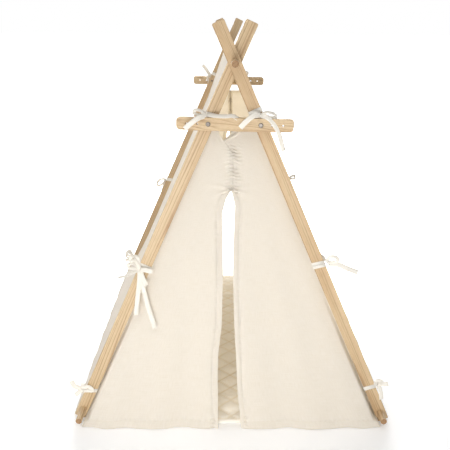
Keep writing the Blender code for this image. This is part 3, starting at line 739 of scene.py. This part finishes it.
class TEEPEE_PG_cover(bpy.types.PropertyGroup):
    """Sizes of the canvas cover."""

    flare: bpy.props.FloatProperty(
        name="Flare", description="How far the door flaps stand forwards at the floor",
        default=0.080, min=0.0, unit="LENGTH")
    fold: bpy.props.FloatProperty(
        name="Fold depth", description="Depth of the soft hanging folds", default=0.004, min=0.0,
        unit="LENGTH")
    hem: bpy.props.FloatProperty(
        name="Hem width", description="Width of the sewn hems", default=0.018, min=0.005, unit="LENGTH")
    lapel: bpy.props.FloatProperty(
        name="Lapel width", description="Width of the turned-back lapel beside the notch", default=0.024,
        min=0.0, unit="LENGTH")
    ripple: bpy.props.FloatProperty(
        name="Side ripple", description="Depth of the side panels' soft ripples", default=0.005, min=0.0,
        unit="LENGTH")


class TEEPEE_PG_ties(bpy.types.PropertyGroup):
    """Sizes of the tied tapes."""

    width: bpy.props.FloatProperty(
        name="Tape width", description="Width of the tapes", default=0.016, min=0.004, unit="LENGTH")
    thickness: bpy.props.FloatProperty(
        name="Tape thickness", description="Thickness of the folded tape", default=0.0014, min=0.0005,
        unit="LENGTH")


class TEEPEE_PG_mat(bpy.types.PropertyGroup):
    """Sizes of the quilted mat."""

    channel: bpy.props.FloatProperty(
        name="Quilting pitch", description="Distance between the quilting lines", default=0.066, min=0.02,
        unit="LENGTH")
    puff: bpy.props.FloatProperty(
        name="Puff", description="Depth of the quilting lines below the pads", default=0.0045, min=0.0,
        unit="LENGTH")
    pressure: bpy.props.FloatProperty(
        name="Pressure", description="How hard the wadding swells the cloth in the simulation", default=4.0,
        min=0.0)


class TEEPEE_PG_stage(bpy.types.PropertyGroup):
    """The studio's light."""

    sky: bpy.props.FloatProperty(
        name="Room light", description="Strength of the even white light", default=0.33, min=0.0)
    key: bpy.props.FloatProperty(
        name="Key light", description="Power of the large upper light", default=282.0, min=0.0,
        unit="POWER")


class TEEPEE_OT_wood(bpy.types.Operator):
    """Give the poles, crossbars, dowels and bolts their wood and steel"""

    bl_idname = "teepee.wood"
    bl_label = "Wood and bolts"

    def execute(self, context):
        colours = ("#d0b893", "#c2a47d", "#9a7650")
        across = (0.0, -math.pi / 2, 0.0)
        along = (math.pi / 2, 0.0, 0.0)
        finishes = {
            "crossbar_": surface("pine_crossbar_planed_lacquered", pine, across, *colours),
            "dowel_": surface("pine_dowel_turned_lacquered", pine, along, *colours, DOWEL_END - 0.0006),
        }
        for word, side in SIDES.items():
            finishes[word] = surface(f"pine_pole_{word}_planed_lacquered", pine,
                                     (0.0, side * LEG_ANGLE, 0.0), *colours)
        steel = surface("steel_bolt_turned_bronzed", bronzed_steel, "#4a443f")
        for name in frame["nodes"]:
            obj = bpy.data.objects[name]
            if name.startswith("pole_"):
                finish = finishes[name.split("_")[-1]]
            elif name.startswith(("bolt_", "nut_")):
                finish = steel
            else:
                finish = next((m for start, m in finishes.items() if name.startswith(start)), None)
            if finish is not None:
                for place in obj.material_slots:
                    place.material = finish
        return {"FINISHED"}


class TEEPEE_OT_flaps(bpy.types.Operator):
    """Make the four door and back flaps"""

    bl_idname = "teepee.flaps"
    bl_label = "Flaps"

    def execute(self, context):
        settings = context.scene.teepee_cover
        sewn = {"left": [], "right": []}
        for end in ("front", "back"):
            for word, side in SIDES.items():
                points, inset, hems = flap_points(side, settings, end == "front")
                lines = flap_seams(points, inset, settings.hem, side)
                if end == "back":
                    points, word = turned(points), OPPOSITE[word]
                    lines = [turned(line) for line in lines]
                sewn[word] += lines
                flap = canvas_sheet(f"flap_{end}_{word}_canvas", points, hems, FLAP_HEM_EXTRA, -side)
                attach(flap, word + "_frame")
                leg_squash(flap)
                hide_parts(f"flap_{end}_{word}")
        for word, lines in sewn.items():
            seams = stitches(f"flap_stitches_{word}", lines, context.scene.teepee_sewing)
            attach(seams, word + "_frame")
            leg_squash(seams)
        return {"FINISHED"}


def flap_seams(points, inset, hem, side):
    """The stitch lines of a flap: beside the slit, over the foot's hem and under the top's."""
    lift = STITCH_LIFT * -side
    out = grid_normals(points)
    height = points[:, SEAM_COLUMNS, 2]
    edge = line_at(points, inset, hem - 0.002, lift)
    lines = [edge[edge[:, 2] < SLIT_HEIGHT - 0.01]]
    for z in (FOOT_STITCH_HEIGHT, height[-1] - TOP_STITCH_DROP):
        row = int(np.argmin(np.abs(height - z)))
        lines.append(points[row, SEAM_COLUMNS:] + out[row, SEAM_COLUMNS:] * lift)
    return lines


def side_outline():
    """The side sheet's outline from hem to hem over the ridge: its x and z, and the rows of one fall."""
    radius = WRAP_RADIUS + CLOTH / 2
    drop_x = SIDE_DROP * math.tan(LEG_ANGLE) + SEAM_OFFSET / math.cos(LEG_ANGLE)
    sweep = (math.pi - math.atan2(drop_x, SIDE_DROP)
             - math.acos(radius / math.hypot(drop_x, SIDE_DROP)))
    arc = np.linspace(-sweep, sweep, ARC_ROWS)
    arc_x, arc_z = radius * np.sin(arc), RIDGE_HEIGHT + radius * np.cos(arc)
    fall = np.linspace(FIRST_ROW_HEIGHT, arc_z[0], FALL_ROWS, endpoint=False)
    down = np.clip((fall - HEM_ABOVE_FLOOR) / (SKIRT_HEIGHT - HEM_ABOVE_FLOOR), 0.0, 1.0)
    table = np.array(SKIRT_SHARES)[::-1]
    kernel = np.hanning(9) / np.hanning(9).sum()
    reach = np.interp(down, table[:, 1], table[:, 0])
    reach = np.convolve(np.pad(reach, 4, mode="edge"), kernel, mode="valid")
    lower = leg_line(1, SEAM_OFFSET + (SKIRT_REACH - SEAM_OFFSET) * reach, fall)
    above = np.clip((fall - RIDGE_HEIGHT + SIDE_DROP) / (arc_z[0] - RIDGE_HEIGHT + SIDE_DROP), 0.0, 1.0)
    upper = leg_line(1, SEAM_OFFSET, RIDGE_HEIGHT - SIDE_DROP) * (1 - above) + arc_x[-1] * above
    right = np.where(above > 0, upper, lower)
    x = np.concatenate((-right, arc_x, right[::-1]))
    return x[:, None], np.concatenate((fall, arc_z, fall[::-1]))[:, None], len(fall)


def side_points(settings):
    """A grid of middle points of the side sheet, its hems' share and the rows of one fall."""
    x, z, fall = side_outline()
    side = np.sign(x + 1e-9)
    share = np.linspace(0.0, 1.0, SIDE_COLUMNS)[None, :]
    y = SIDE_START_Y + share * -2 * SIDE_START_Y
    slack = smoothstep((RIDGE_HEIGHT - z) / (RIDGE_HEIGHT / 2)) * np.sin(share * math.pi) ** 0.5
    waves = (1 + np.sin(share * 10.3 * math.pi + 0.8 * np.sin(z * 3.1) + side)) / 2
    waves = 0.7 * waves + 0.3 * (1 + np.sin(share * 23.7 * math.pi + 2.0 * z + 2 * side)) / 2
    loose = smoothstep((RIDGE_HEIGHT - z) / SIDE_DROP) * smoothstep(z / SKIRT_HEIGHT)
    swell = settings.ripple * slack * waves - SIDE_SAG * loose * np.sin(share * math.pi)
    swell = swell + bump(z - FOOT_HEM, 0.005) * 0.0008 * (1 + np.sin(y * 2 * math.pi / 0.018))
    x = x + side * swell * math.cos(LEG_ANGLE)
    edge = np.minimum(y - SIDE_START_Y, -SIDE_START_Y - y)
    hems = np.maximum(smoothstep((FOOT_HEM - z) / SIDE_HEM_STEP),
                      smoothstep((SIDE_WELT - edge) / SIDE_HEM_STEP))
    return np.stack(np.broadcast_arrays(x, y, z), axis=2), hems, fall


class TEEPEE_OT_sides(bpy.types.Operator):
    """Make the one sheet that hangs over the ridge dowel down both sides"""

    bl_idname = "teepee.sides"
    bl_label = "Side cover"

    def execute(self, context):
        points, hems, fall = side_points(context.scene.teepee_cover)
        cover = canvas_sheet("cover_sides", points, hems, SIDE_HEM_EXTRA, -1.0)
        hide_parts("cover_side_left", "cover_side_right")
        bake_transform(cover)
        inside = points - grid_normals(points) * STITCH_LIFT
        for word, rows in (("left", slice(0, fall)), ("right", slice(len(points) - fall, None))):
            half = inside[rows]
            foot = np.argmin(np.abs(points[rows, 0, 2] - FOOT_STITCH_HEIGHT))
            seams = stitches(f"side_stitches_{word}", [half[foot], half[:, 1], half[:, -2]],
                             context.scene.teepee_sewing)
            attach(seams, word + "_frame")
        return {"FINISHED"}


def tape_data(path, middle, lift, offsets, flipped=False):
    """The data of a flat tape and its length, from its path, its middle points and half its thickness."""
    length = lengths(path, 0)
    uv = np.stack(np.broadcast_arrays(offsets[None, :], length[:, None]), 2)
    quads = closed_quads(*middle.shape[:2])
    if flipped:
        quads = quads[:, ::-1]
    return closed_sheet(middle + lift, middle - lift, uv, quads), length[-1]


def ribbon(path, face, width, thickness):
    """A soft tape along a few points, its flat side turned towards face; its data and its length.

    The ends are cut square, the tape is cupped a little, and its long edges are thinner than its middle.
    """
    path = smooth_path(np.array([tuple(p) for p in path]), 0.0045)
    tangent = np.gradient(path, axis=0)
    tangent /= np.linalg.norm(tangent, axis=1, keepdims=True)
    across = np.cross(tangent, face)
    across /= np.maximum(np.linalg.norm(across, axis=1, keepdims=True), 1e-9)
    normal = np.cross(across, tangent)[:, None, :]
    steps = np.linspace(-0.5, 0.5, 7)
    cup = 0.06 * width * (1 - (2 * steps) ** 2)
    middle = (path[:, None, :] + across[:, None, :] * (steps * width)[None, :, None]
              + normal * cup[None, :, None])
    half = thickness / 2 * (0.55 + 0.45 * np.sqrt(np.clip(1 - (2 * steps) ** 6, 0, 1)))
    return tape_data(path, middle, normal * half[None, :, None], steps * width)


def wrap(path, faces, across, width, thickness):
    """A tight tape through exact points, its flat side facing outwards; its data and its length."""
    path = np.array([tuple(p) for p in path])
    faces = np.array([tuple(f) for f in faces])
    across = np.array(tuple(across)) / np.linalg.norm(tuple(across))
    offsets = np.linspace(-0.5, 0.5, 5) * width
    middle = path[:, None, :] + (across[None, :] * offsets[:, None])[None, :, :]
    half = thickness / 2 * np.array((0.6, 1.0, 1.0, 1.0, 0.6))
    turn = np.cross(middle[1, 0] - middle[0, 0], middle[0, 1] - middle[0, 0]) @ faces[0]
    return tape_data(path, middle, faces[:, None, :] * half[None, :, None], offsets, flipped=turn > 0)


def smooth_path(points, step):
    """A Catmull-Rom line through the points, at about one step apart."""
    if len(points) == 2:
        count = max(3, int(np.linalg.norm(points[1] - points[0]) / step))
        return points[0] + (points[1] - points[0]) * np.linspace(0.0, 1.0, count)[:, None]
    padded = np.concatenate(([2 * points[0] - points[1]], points, [2 * points[-1] - points[-2]]))
    line = []
    for a, b, c, d in zip(padded, padded[1:], padded[2:], padded[3:]):
        count = max(2, int(np.linalg.norm(c - b) / step))
        t = np.linspace(0.0, 1.0, count, endpoint=False)[:, None]
        line.append(0.5 * (2 * b + (c - a) * t + (2 * a - 5 * b + 4 * c - d) * t ** 2
                           + (3 * b - a - 3 * c + d) * t ** 3))
    line.append(points[-1:])
    return np.concatenate(line)


# Each tie: its height in metres, its bands' shifts along the pole, how far the bands lie level (0 square
# to the pole, 1 level), the knot's place beside the pole's middle line (right, up) and the ends, in
# millimetres from the knot: right, towards the viewer, up. The word names the tape's facing in TAPE_FACES.
TIES = {
    ("front", "left", "low"): (0.112, (0.0,), 1.0, (-31, 6), [
        ("out", [(0, 3, 0), (10, 12, 10), (24, 16, 17), (35, 14, 9), (39, 10, -3), (28, 8, -5), (12, 5, -2),
                 (0, 3, -1)]),
        ("out", [(0, 4, 0), (-12, 10, 10), (-26, 13, 19), (-34, 12, 38)]),
        ("out", [(0, 4, -1), (-10, 9, -8), (-24, 11, -20)]),
        ("out", [(0, 5, 0), (4, 10, 14), (8, 12, 29)]),
    ]),
    ("front", "left", "middle"): (0.586, (-0.006, 0.006), 0.0, (-15, -2), [
        ("up", [(0, 3, 0), (-14, 12, 7), (-32, 16, 10), (-38, 15, 20), (-22, 13, 27), (-6, 8, 14),
                (0, 4, 2)]),
        ("up", [(0, 3, 0), (-4, 12, 22), (-14, 16, 38), (-30, 15, 36), (-26, 13, 50), (-6, 9, 46),
                (0, 4, 2)]),
        ("edge", [(0, 4, 2), (-8, 11, 34), (-20, 14, 56), (-38, 13, 68)]),
        ("edge", [(0, 4, 0), (-24, 12, -8), (-50, 13, -20), (-72, 12, -25)]),
        ("out", [(0, 6, 0), (-2, 12, -40), (-10, 14, -100), (-17, 13, -163)]),
        ("out", [(1, 7, 0), (8, 14, -50), (22, 16, -120), (46, 16, -212)]),
        ("out", [(1, 7, 0), (9, 13, -24), (20, 14, -54)]),
        ("out", [(1, 6, 1), (20, 12, 2), (44, 14, -5)]),
    ]),
    ("front", "left", "top"): (1.099, (0.0,), 0.4, (-14, 2), [
        ("up", [(0, 3, 0), (-14, 10, 12), (-34, 12, 18), (-40, 12, 8), (-16, 8, 0), (0, 3, 0)]),
        ("out", [(0, 6, 0), (-24, 30, -4), (-46, 36, -18), (-68, 34, -38)]),
        ("up", [(0, 5, 2), (24, 16, 0), (56, 20, -1), (80, 22, 1), (96, 26, -8)]),
    ]),
    ("front", "right", "low"): (0.140, (0.0,), 0.25, (29, 11), [
        ("out", [(0, 3, 0), (-12, 9, 8), (-8, 12, 20), (8, 12, 19), (11, 9, 6), (0, 4, 0)]),
        ("out", [(0, 4, 0), (14, 9, 5), (24, 11, 6), (34, 12, 9)]),
        ("out", [(0, 4, -2), (9, 9, -22), (15, 10, -56)]),
    ]),
    ("front", "right", "middle"): (0.608, (-0.007, 0.005), 0.4, (38, 4), [
        ("out", [(0, 3, 0), (-12, 9, 12), (-4, 12, 26), (16, 13, 26), (23, 11, 12), (0, 4, 0)]),
        ("out", [(-4, 4, 0), (30, 10, -3), (60, 12, -16), (92, 10, -29)]),
    ]),
    ("front", "right", "top"): (1.113, (0.0,), 0.0, (15, -10), [
        ("up", [(0, 3, 0), (-12, 12, 12), (-30, 14, 8), (-28, 12, -1), (-12, 8, -2), (0, 4, 0)]),
        ("up", [(0, 3, 0), (16, 12, 12), (40, 14, 8), (46, 13, -3), (24, 10, -4), (0, 4, 0)]),
        ("out", [(0, 6, 4), (-22, 20, 2), (-44, 26, -14), (-62, 24, -34)]),
        ("out", [(0, 7, 2), (26, 22, -6), (54, 27, -44), (73, 22, -106)]),
    ]),
    ("back", "left", "low"): (0.094, (0.0,), 0.0, (24, 0), [
        ("out", [(0, 3, 0), (12, 10, 20), (26, 12, 34), (34, 11, 16), (14, 7, 2), (0, 4, 0)]),
        ("out", [(0, 3, 0), (16, 9, -10), (34, 12, -6), (36, 12, 8), (12, 8, 4), (0, 4, 0)]),
        ("out", [(0, 5, 0), (10, 11, 22), (22, 13, 40)]),
        ("out", [(0, 5, 0), (20, 10, -16), (46, 12, -24)]),
    ]),
    ("back", "left", "middle"): (0.547, (0.0, 0.006), 0.6, (26, -2), [
        ("out", [(0, 3, 0), (14, -4, 6), (34, -6, 0), (46, -6, -18), (40, -6, -32), (18, -2, -22),
                 (0, 2, 0)]),
        ("out", [(0, 3, 0), (14, -5, -50), (30, -7, -110), (47, -8, -172)]),
    ]),
    ("back", "left", "top"): (1.108, (0.0,), 0.0, (20, -30), [
        ("out", [(0, 0, 0), (-12, -14, 14), (4, -18, 28), (22, -16, 16), (18, -10, -4), (0, -4, 0)]),
        ("out", [(0, -2, 0), (-10, -14, -10), (4, -18, -26), (18, -14, -14), (0, -4, 0)]),
        ("out", [(0, -2, 4), (14, -12, 30), (34, -14, 60), (48, -12, 76)]),
    ]),
    ("back", "right", "low"): (0.112, (0.0,), 0.0, (-24, 0), [
        ("out", [(0, 3, 0), (8, 10, 10), (26, 13, 16), (30, 9, 2), (14, 6, -3), (0, 3, -1)]),
        ("out", [(0, 4, 0), (-14, 9, -12), (-24, 12, -34)]),
        ("out", [(0, 5, 0), (6, 10, -16), (10, 12, -38)]),
    ]),
    ("back", "right", "middle"): (0.560, (-0.005, 0.006), 0.0, (-24, 0), [
        ("out", [(0, 3, 0), (-12, 10, 12), (-30, 12, 10), (-28, 11, -4), (-12, 8, -4), (0, 4, 0)]),
        ("out", [(0, 5, 0), (-14, 10, 10), (-34, 11, 16)]),
        ("out", [(0, 5, 0), (8, 11, -40), (12, 12, -96)]),
    ]),
    ("back", "right", "top"): (1.113, (0.0,), 0.0, (0, -4), [
        ("out", [(0, 3, 0), (-14, 10, 10), (-32, 12, 8), (-28, 11, -4), (-12, 8, -3), (0, 4, 0)]),
        ("out", [(0, 5, 0), (22, 20, -6), (48, 27, -16)]),
    ]),
}

MILLIMETRE = 0.001

# Share of the tape's width that shows in a single and a double band, a knot's turn, a loop and a tail
BAND_SHARE = 0.95
DOUBLE_BAND_SHARE = 0.7
KNOT_SHARE = 0.55
LOOP_SHARE = 0.75
TAIL_SHARE = 1.0

# A knot within this many millimetres of the pole's middle line lies on the pole, and how far in front of
# the pole's face or of its middle a knot lies, in metres
ON_POLE = 22
KNOT_ON_FACE = 0.005
KNOT_BESIDE = 0.004
LOOP_GAP = 0.006

# The way a tape's flat side is turned, for each word in TIES
TAPE_FACES = {"out": (0.25, -1.0, 0.35), "up": (0.1, -0.65, 0.8), "edge": (0.3, -0.1, 0.95)}

# The two turns of a knot: the ring's lean in radians and its radius in metres
KNOT_TURNS = ((0.5, 0.0052), (-0.7, 0.0066))


def band(middle, lean, shift, level_share, width, thick):
    """One band of tape round a pole that leans by an angle."""
    along = Vector((-math.sin(lean), 0.0, math.cos(lean)))
    across = Vector((math.cos(lean), 0.0, math.sin(lean)))
    ease = thick / 2 + GAP
    ring, out = [], []
    for turn, (sx, sy) in enumerate(((1, -1), (1, 1), (-1, 1), (-1, -1))):
        for step in range(4):
            angle = math.radians(-90 + turn * 90 + 30 * step)
            x = sx * POLE_WIDTH / 2 + ease * math.cos(angle)
            y = sy * POLE_THICKNESS / 2 + ease * math.sin(angle)
            slide = shift - x * math.tan(lean) * level_share + 0.0012 * math.sin(3 * angle)
            ring.append(middle + across * x + Vector((0, y, 0)) + along * slide)
            out.append(across * math.cos(angle) + Vector((0, math.sin(angle), 0)))
    return wrap(ring + ring[:1], out + out[:1], along, width, thick)


def knot_turn(knot, lean, radius, width, thick):
    """One turn of tape round a knot."""
    tilt = Matrix.Rotation(lean, 3, "Y")
    around = [tilt @ Vector((math.cos(angle) * radius * 1.25, 0.0, math.sin(angle) * radius))
              for angle in (step * math.pi / 6 for step in range(13))]
    circle = [knot + spoke + Vector((0, -0.002, 0)) for spoke in around]
    return wrap(circle, [spoke.normalized() for spoke in around], Vector((0, 1, 0)), width, thick)


def tie_pieces(end, word, level, settings):
    """The data of one tied tape's bands, knot, loops and tails, and their length and area in all."""
    height, shifts, level_share, knot_place, ends = TIES[end, word, level]
    side = SIDES[word] * (1 if end == "front" else -1)
    middle = Vector((leg_line(side, 0.0, height), FRONT_Y + (side < 0) * POLE_LAYER, height))
    width, thick = settings.width, settings.thickness
    knot = middle + Vector((knot_place[0], 0.0, knot_place[1])) * MILLIMETRE
    on_pole = abs(knot_place[0]) < ON_POLE
    knot.y = middle.y - (POLE_THICKNESS / 2 + KNOT_ON_FACE if on_pole else KNOT_BESIDE)
    strip = width * (DOUBLE_BAND_SHARE if len(shifts) > 1 else BAND_SHARE)
    tapes = [(strip, band(middle, side * LEG_ANGLE, shift, level_share, strip, thick))
             for shift in shifts]
    strip = width * KNOT_SHARE
    tapes += [(strip, knot_turn(knot, lean, radius, strip, thick)) for lean, radius in KNOT_TURNS]
    for facing, points in ends:
        path = [knot + Vector((x, -y, z)) * MILLIMETRE for x, y, z in points]
        is_loop = (path[0] - path[-1]).length < LOOP_GAP
        strip = width * (LOOP_SHARE if is_loop else TAIL_SHARE)
        tapes.append((strip, ribbon(path, TAPE_FACES[facing], strip, thick)))
    pieces = [data for _, (data, _) in tapes]
    return pieces, sum(length for _, (_, length) in tapes), sum(s * length for s, (_, length) in tapes)


class TEEPEE_OT_ties(bpy.types.Operator):
    """Tie the twelve tapes round the poles"""

    bl_idname = "teepee.ties"
    bl_label = "Ties"

    def execute(self, context):
        settings = context.scene.teepee_ties
        for end, word, level in TIES:
            pieces, length, area = tie_pieces(end, word, level, settings)
            if end == "back":
                pieces = [(turned(points), quads, uv) for points, quads, uv in pieces]
            name = f"tie_{end}_{word}_{level}"
            tie = link(name + "_tape", mesh_from(name + "_tape", pieces))
            tie.data.materials.append(cloth("tape"))
            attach(tie, word + "_frame")
            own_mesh(tie)
            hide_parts(name)
        return {"FINISHED"}


def swollen(grid, sewn, settings):
    """The heights of the mat's top once wadding swells it between its sewn lines, by cloth simulation."""
    rows, columns = sewn.shape
    mesh = bpy.data.meshes.new("mat_top")
    faces = closed_quads(rows, columns)[:(rows - 1) * (columns - 1)]
    mesh.from_pydata(grid.reshape(-1, 3).tolist(), [], faces.tolist())
    top = link("mat_top", mesh)
    top.vertex_groups.new(name="Sewn").add(np.flatnonzero(sewn).tolist(), 1.0, "REPLACE")
    cloth_modifier = top.modifiers.new("Wadding", "CLOTH")
    physics = cloth_modifier.settings
    physics.quality = 4
    physics.mass = 0.05
    physics.vertex_group_mass = "Sewn"
    physics.use_pressure = True
    physics.uniform_pressure_force = settings.pressure
    physics.shrink_min = -0.02
    physics.effector_weights.gravity = 0.0
    cloth_modifier.collision_settings.use_collision = False
    cloth_modifier.point_cache.frame_start = 1
    cloth_modifier.point_cache.frame_end = SWELL_FRAMES
    scene = bpy.context.scene
    for frame_number in range(1, SWELL_FRAMES + 1):
        scene.frame_set(frame_number)
    shaped = top.evaluated_get(bpy.context.evaluated_depsgraph_get()).data
    heights = np.array([vertex.co.z for vertex in shaped.vertices]).reshape(rows, columns)
    scene.frame_set(1)
    bpy.data.objects.remove(top)
    bpy.data.meshes.remove(mesh)
    return np.clip(heights, grid[:, :, 2] - SWELL_LIMIT, grid[:, :, 2] + SWELL_LIMIT)


def mat_top(settings):
    """A grid of the mat's upper side, and how strongly painted shade darkens each point along the quilting
    creases and the border's stitch line.
    """
    rows, columns = MAT_POINTS
    x = np.linspace(-MAT_WIDTH / 2, MAT_WIDTH / 2, columns)[None, :]
    y = np.linspace(-MAT_LENGTH / 2, MAT_LENGTH / 2, rows)[:, None]
    pad = np.minimum(*[np.abs(np.sin(math.pi * (x + sign * y) / (math.sqrt(2) * settings.channel)))
                       for sign in (-1, 1)])
    puff = settings.puff * (1 - np.sqrt(np.clip(pad, 0, 1)))
    edge = np.minimum(MAT_WIDTH / 2 - np.abs(x), MAT_LENGTH / 2 - np.abs(y))
    rim = smoothstep((MAT_RIM_WIDTH - edge) / 0.004)
    top = MAT_THICKNESS - puff * (1 - rim) - MAT_RIM_DROP * rim
    round_over = np.sqrt(np.clip(1 - (1 - np.clip(edge / MAT_ROUNDING, 0, 1)) ** 2, 0, 1))
    top = HEM_ABOVE_FLOOR + (top - HEM_ABOVE_FLOOR) * (0.35 + 0.65 * round_over)
    grid = np.stack(np.broadcast_arrays(x, y - MAT_FORWARD, top), axis=2)
    grid[:, :, 2] = swollen(grid, (pad < PINNED_SHARE) | (edge < PINNED_BORDER), settings)
    # Painted shade: the cloth is darker along the quilting creases and along the border's stitch line
    return grid, np.maximum(bump(pad, CREASE_SHADE_WIDTH) * (1 - rim), 0.7 * bump(edge - 0.015, 0.003))


class TEEPEE_OT_mat(bpy.types.Operator):
    """Lay the quilted mat on the floor between the frames"""

    bl_idname = "teepee.mat"
    bl_label = "Mat"

    def execute(self, context):
        top, sewn = mat_top(context.scene.teepee_mat)
        under = top.copy()
        under[:, :, 2] = HEM_ABOVE_FLOOR
        data = closed_sheet(top, under, top[:, :, :2], closed_quads(*MAT_POINTS))
        mat = link("floor_mat_quilt", mesh_from("floor_mat_quilt", [data]))
        # The mat's marks are painted shade along its quilting creases and its border's stitch line
        mark_layers_and_crease_shade(mat.data, sewn)
        mat.data.materials.append(cloth("mat"))
        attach(mat, "left_frame")
        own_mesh(mat)
        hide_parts("floor_mat")
        return {"FINISHED"}


def white_studio(scene, strength):
    """An even white world that the camera sees as pure white."""
    scene.world = bpy.data.worlds.new("white_studio")
    scene.world.use_nodes = True
    tree = scene.world.node_tree
    tree.nodes.clear()
    path = add_node(tree, "ShaderNodeLightPath").outputs
    seen = path["Is Camera Ray"]
    for other in ("Is Glossy Ray", "Is Transmission Ray"):
        seen = calculate(tree, "MAXIMUM", seen, path[other])
    room, white = (add_node(tree, "ShaderNodeBackground", {"Color": srgb("#ffffff"), "Strength": power})
                   for power in (strength, 1.0))
    mix = add_node(tree, "ShaderNodeMixShader", {0: seen, 1: room.outputs[0], 2: white.outputs[0]})
    add_node(tree, "ShaderNodeOutputWorld", {"Surface": mix.outputs[0]})


def paper_floor():
    """A white paper floor that fades to pure white away from the tent, as the camera sees it."""
    mesh = bpy.data.meshes.new("studio_floor")
    corners = [(x * FLOOR_HALF, y * FLOOR_HALF, 0) for x, y in ((-1, -1), (1, -1), (1, 1), (-1, 1))]
    mesh.from_pydata(corners, [], [(0, 1, 2, 3)])
    made, tree, shader, output = new_material("white_paper_backdrop")
    seen = add_node(tree, "ShaderNodeLightPath").outputs["Is Camera Ray"]
    paper = mixed(tree, seen, srgb("#fafafa"), srgb("#ffffff"))
    tree.links.new(paper, shader.inputs["Base Color"])
    shader.inputs["Roughness"].default_value = 0.9
    shader.inputs["Specular IOR Level"].default_value = 0.0
    depth = split(tree, add_node(tree, "ShaderNodeTexCoord").outputs["Object"])["Y"]
    far = calculate(tree, "MAXIMUM", ranged(tree, depth, -0.8, 0.8, 0.06, 1.0),
                    ranged(tree, depth, -2.5, -6.0, 0.0, 1.0))
    glow = add_node(tree, "ShaderNodeEmission", {"Color": srgb("#ffffff"),
                                                 "Strength": calculate(tree, "MULTIPLY", far, seen)})
    both = add_node(tree, "ShaderNodeAddShader", {0: shader.outputs[0], 1: glow.outputs[0]})
    tree.links.new(both.outputs[0], output.inputs["Surface"])
    mesh.materials.append(made)
    return link("studio_floor", mesh)


def soft_lamp(name, place, size, power):
    """A round soft lamp that shines on the tent's middle."""
    data = bpy.data.lights.new(name, "AREA")
    data.shape = "DISK"
    data.size = size
    data.energy = power
    lamp = link(name, data)
    lamp.location = place
    lamp.rotation_mode = "QUATERNION"
    lamp.rotation_quaternion = (Vector(LAMP_TARGET) - Vector(place)).to_track_quat("-Z", "Y")
    return lamp


def photo_camera():
    """The camera that was fitted to the photograph."""
    pitch, yaw, roll = (math.radians(angle) for angle in CAMERA_ANGLES)
    forward = Vector((math.sin(yaw) * math.cos(pitch), math.cos(yaw) * math.cos(pitch), -math.sin(pitch)))
    level = Vector((math.cos(yaw), -math.sin(yaw), 0.0))
    upright = level.cross(forward)
    right = math.cos(roll) * level + math.sin(roll) * upright
    up = math.cos(roll) * upright - math.sin(roll) * level
    camera = link("photo_camera", bpy.data.cameras.new("photo_camera"))
    camera.data.lens = CAMERA_LENS
    camera.data.sensor_width = CAMERA_SENSOR
    camera.data.clip_end = 4 * FLOOR_HALF
    place = Matrix((right, up, -forward)).transposed().to_4x4()
    place.translation = Vector(CAMERA_PLACE)
    camera.matrix_world = place
    return camera


class TEEPEE_OT_stage(bpy.types.Operator):
    """Set the pale floor, the soft studio light and the camera"""

    bl_idname = "teepee.stage"
    bl_label = "Stage"

    def execute(self, context):
        settings, scene = context.scene.teepee_stage, context.scene
        white_studio(scene, settings.sky)
        paper_floor()
        for name, (place, size, share) in LAMPS.items():
            soft_lamp(name, place, size, settings.key * share)
        scene.camera = photo_camera()
        scene.view_settings.view_transform = "Standard"
        return {"FINISHED"}


class TEEPEE_PT_panel(bpy.types.Panel):
    """The teepee's groups of pieces and their sizes"""

    bl_idname = "TEEPEE_PT_panel"
    bl_label = "Kids teepee"
    bl_space_type = "VIEW_3D"
    bl_region_type = "UI"
    bl_category = "Teepee"

    def draw(self, context):
        layout = self.layout
        for operator in OPERATORS:
            layout.operator(operator.bl_idname)
        for group, kind in GROUPS.items():
            for name in kind.__annotations__:
                layout.prop(getattr(context.scene, group), name)


OPERATORS = (TEEPEE_OT_wood, TEEPEE_OT_sides, TEEPEE_OT_flaps, TEEPEE_OT_ties, TEEPEE_OT_mat,
             TEEPEE_OT_stage)
GROUPS = {"teepee_cover": TEEPEE_PG_cover, "teepee_sewing": TEEPEE_PG_sewing,
          "teepee_ties": TEEPEE_PG_ties, "teepee_mat": TEEPEE_PG_mat, "teepee_stage": TEEPEE_PG_stage}
CLASSES = (*GROUPS.values(), *OPERATORS, TEEPEE_PT_panel)


def register():
    """Register the add-on's classes and settings."""
    for item in CLASSES:
        bpy.utils.register_class(item)
    for name, group in GROUPS.items():
        setattr(bpy.types.Scene, name, bpy.props.PointerProperty(type=group))


def unregister():
    """Take the classes and settings away again."""
    for name in GROUPS:
        delattr(bpy.types.Scene, name)
    for item in reversed(CLASSES):
        bpy.utils.unregister_class(item)


def main():
    """Build every group in order."""
    register()
    bpy.ops.teepee.wood()
    bpy.ops.teepee.sides()
    bpy.ops.teepee.flaps()
    bpy.ops.teepee.ties()
    bpy.ops.teepee.mat()
    bpy.ops.teepee.stage()


if __name__ == "__main__":
    main()
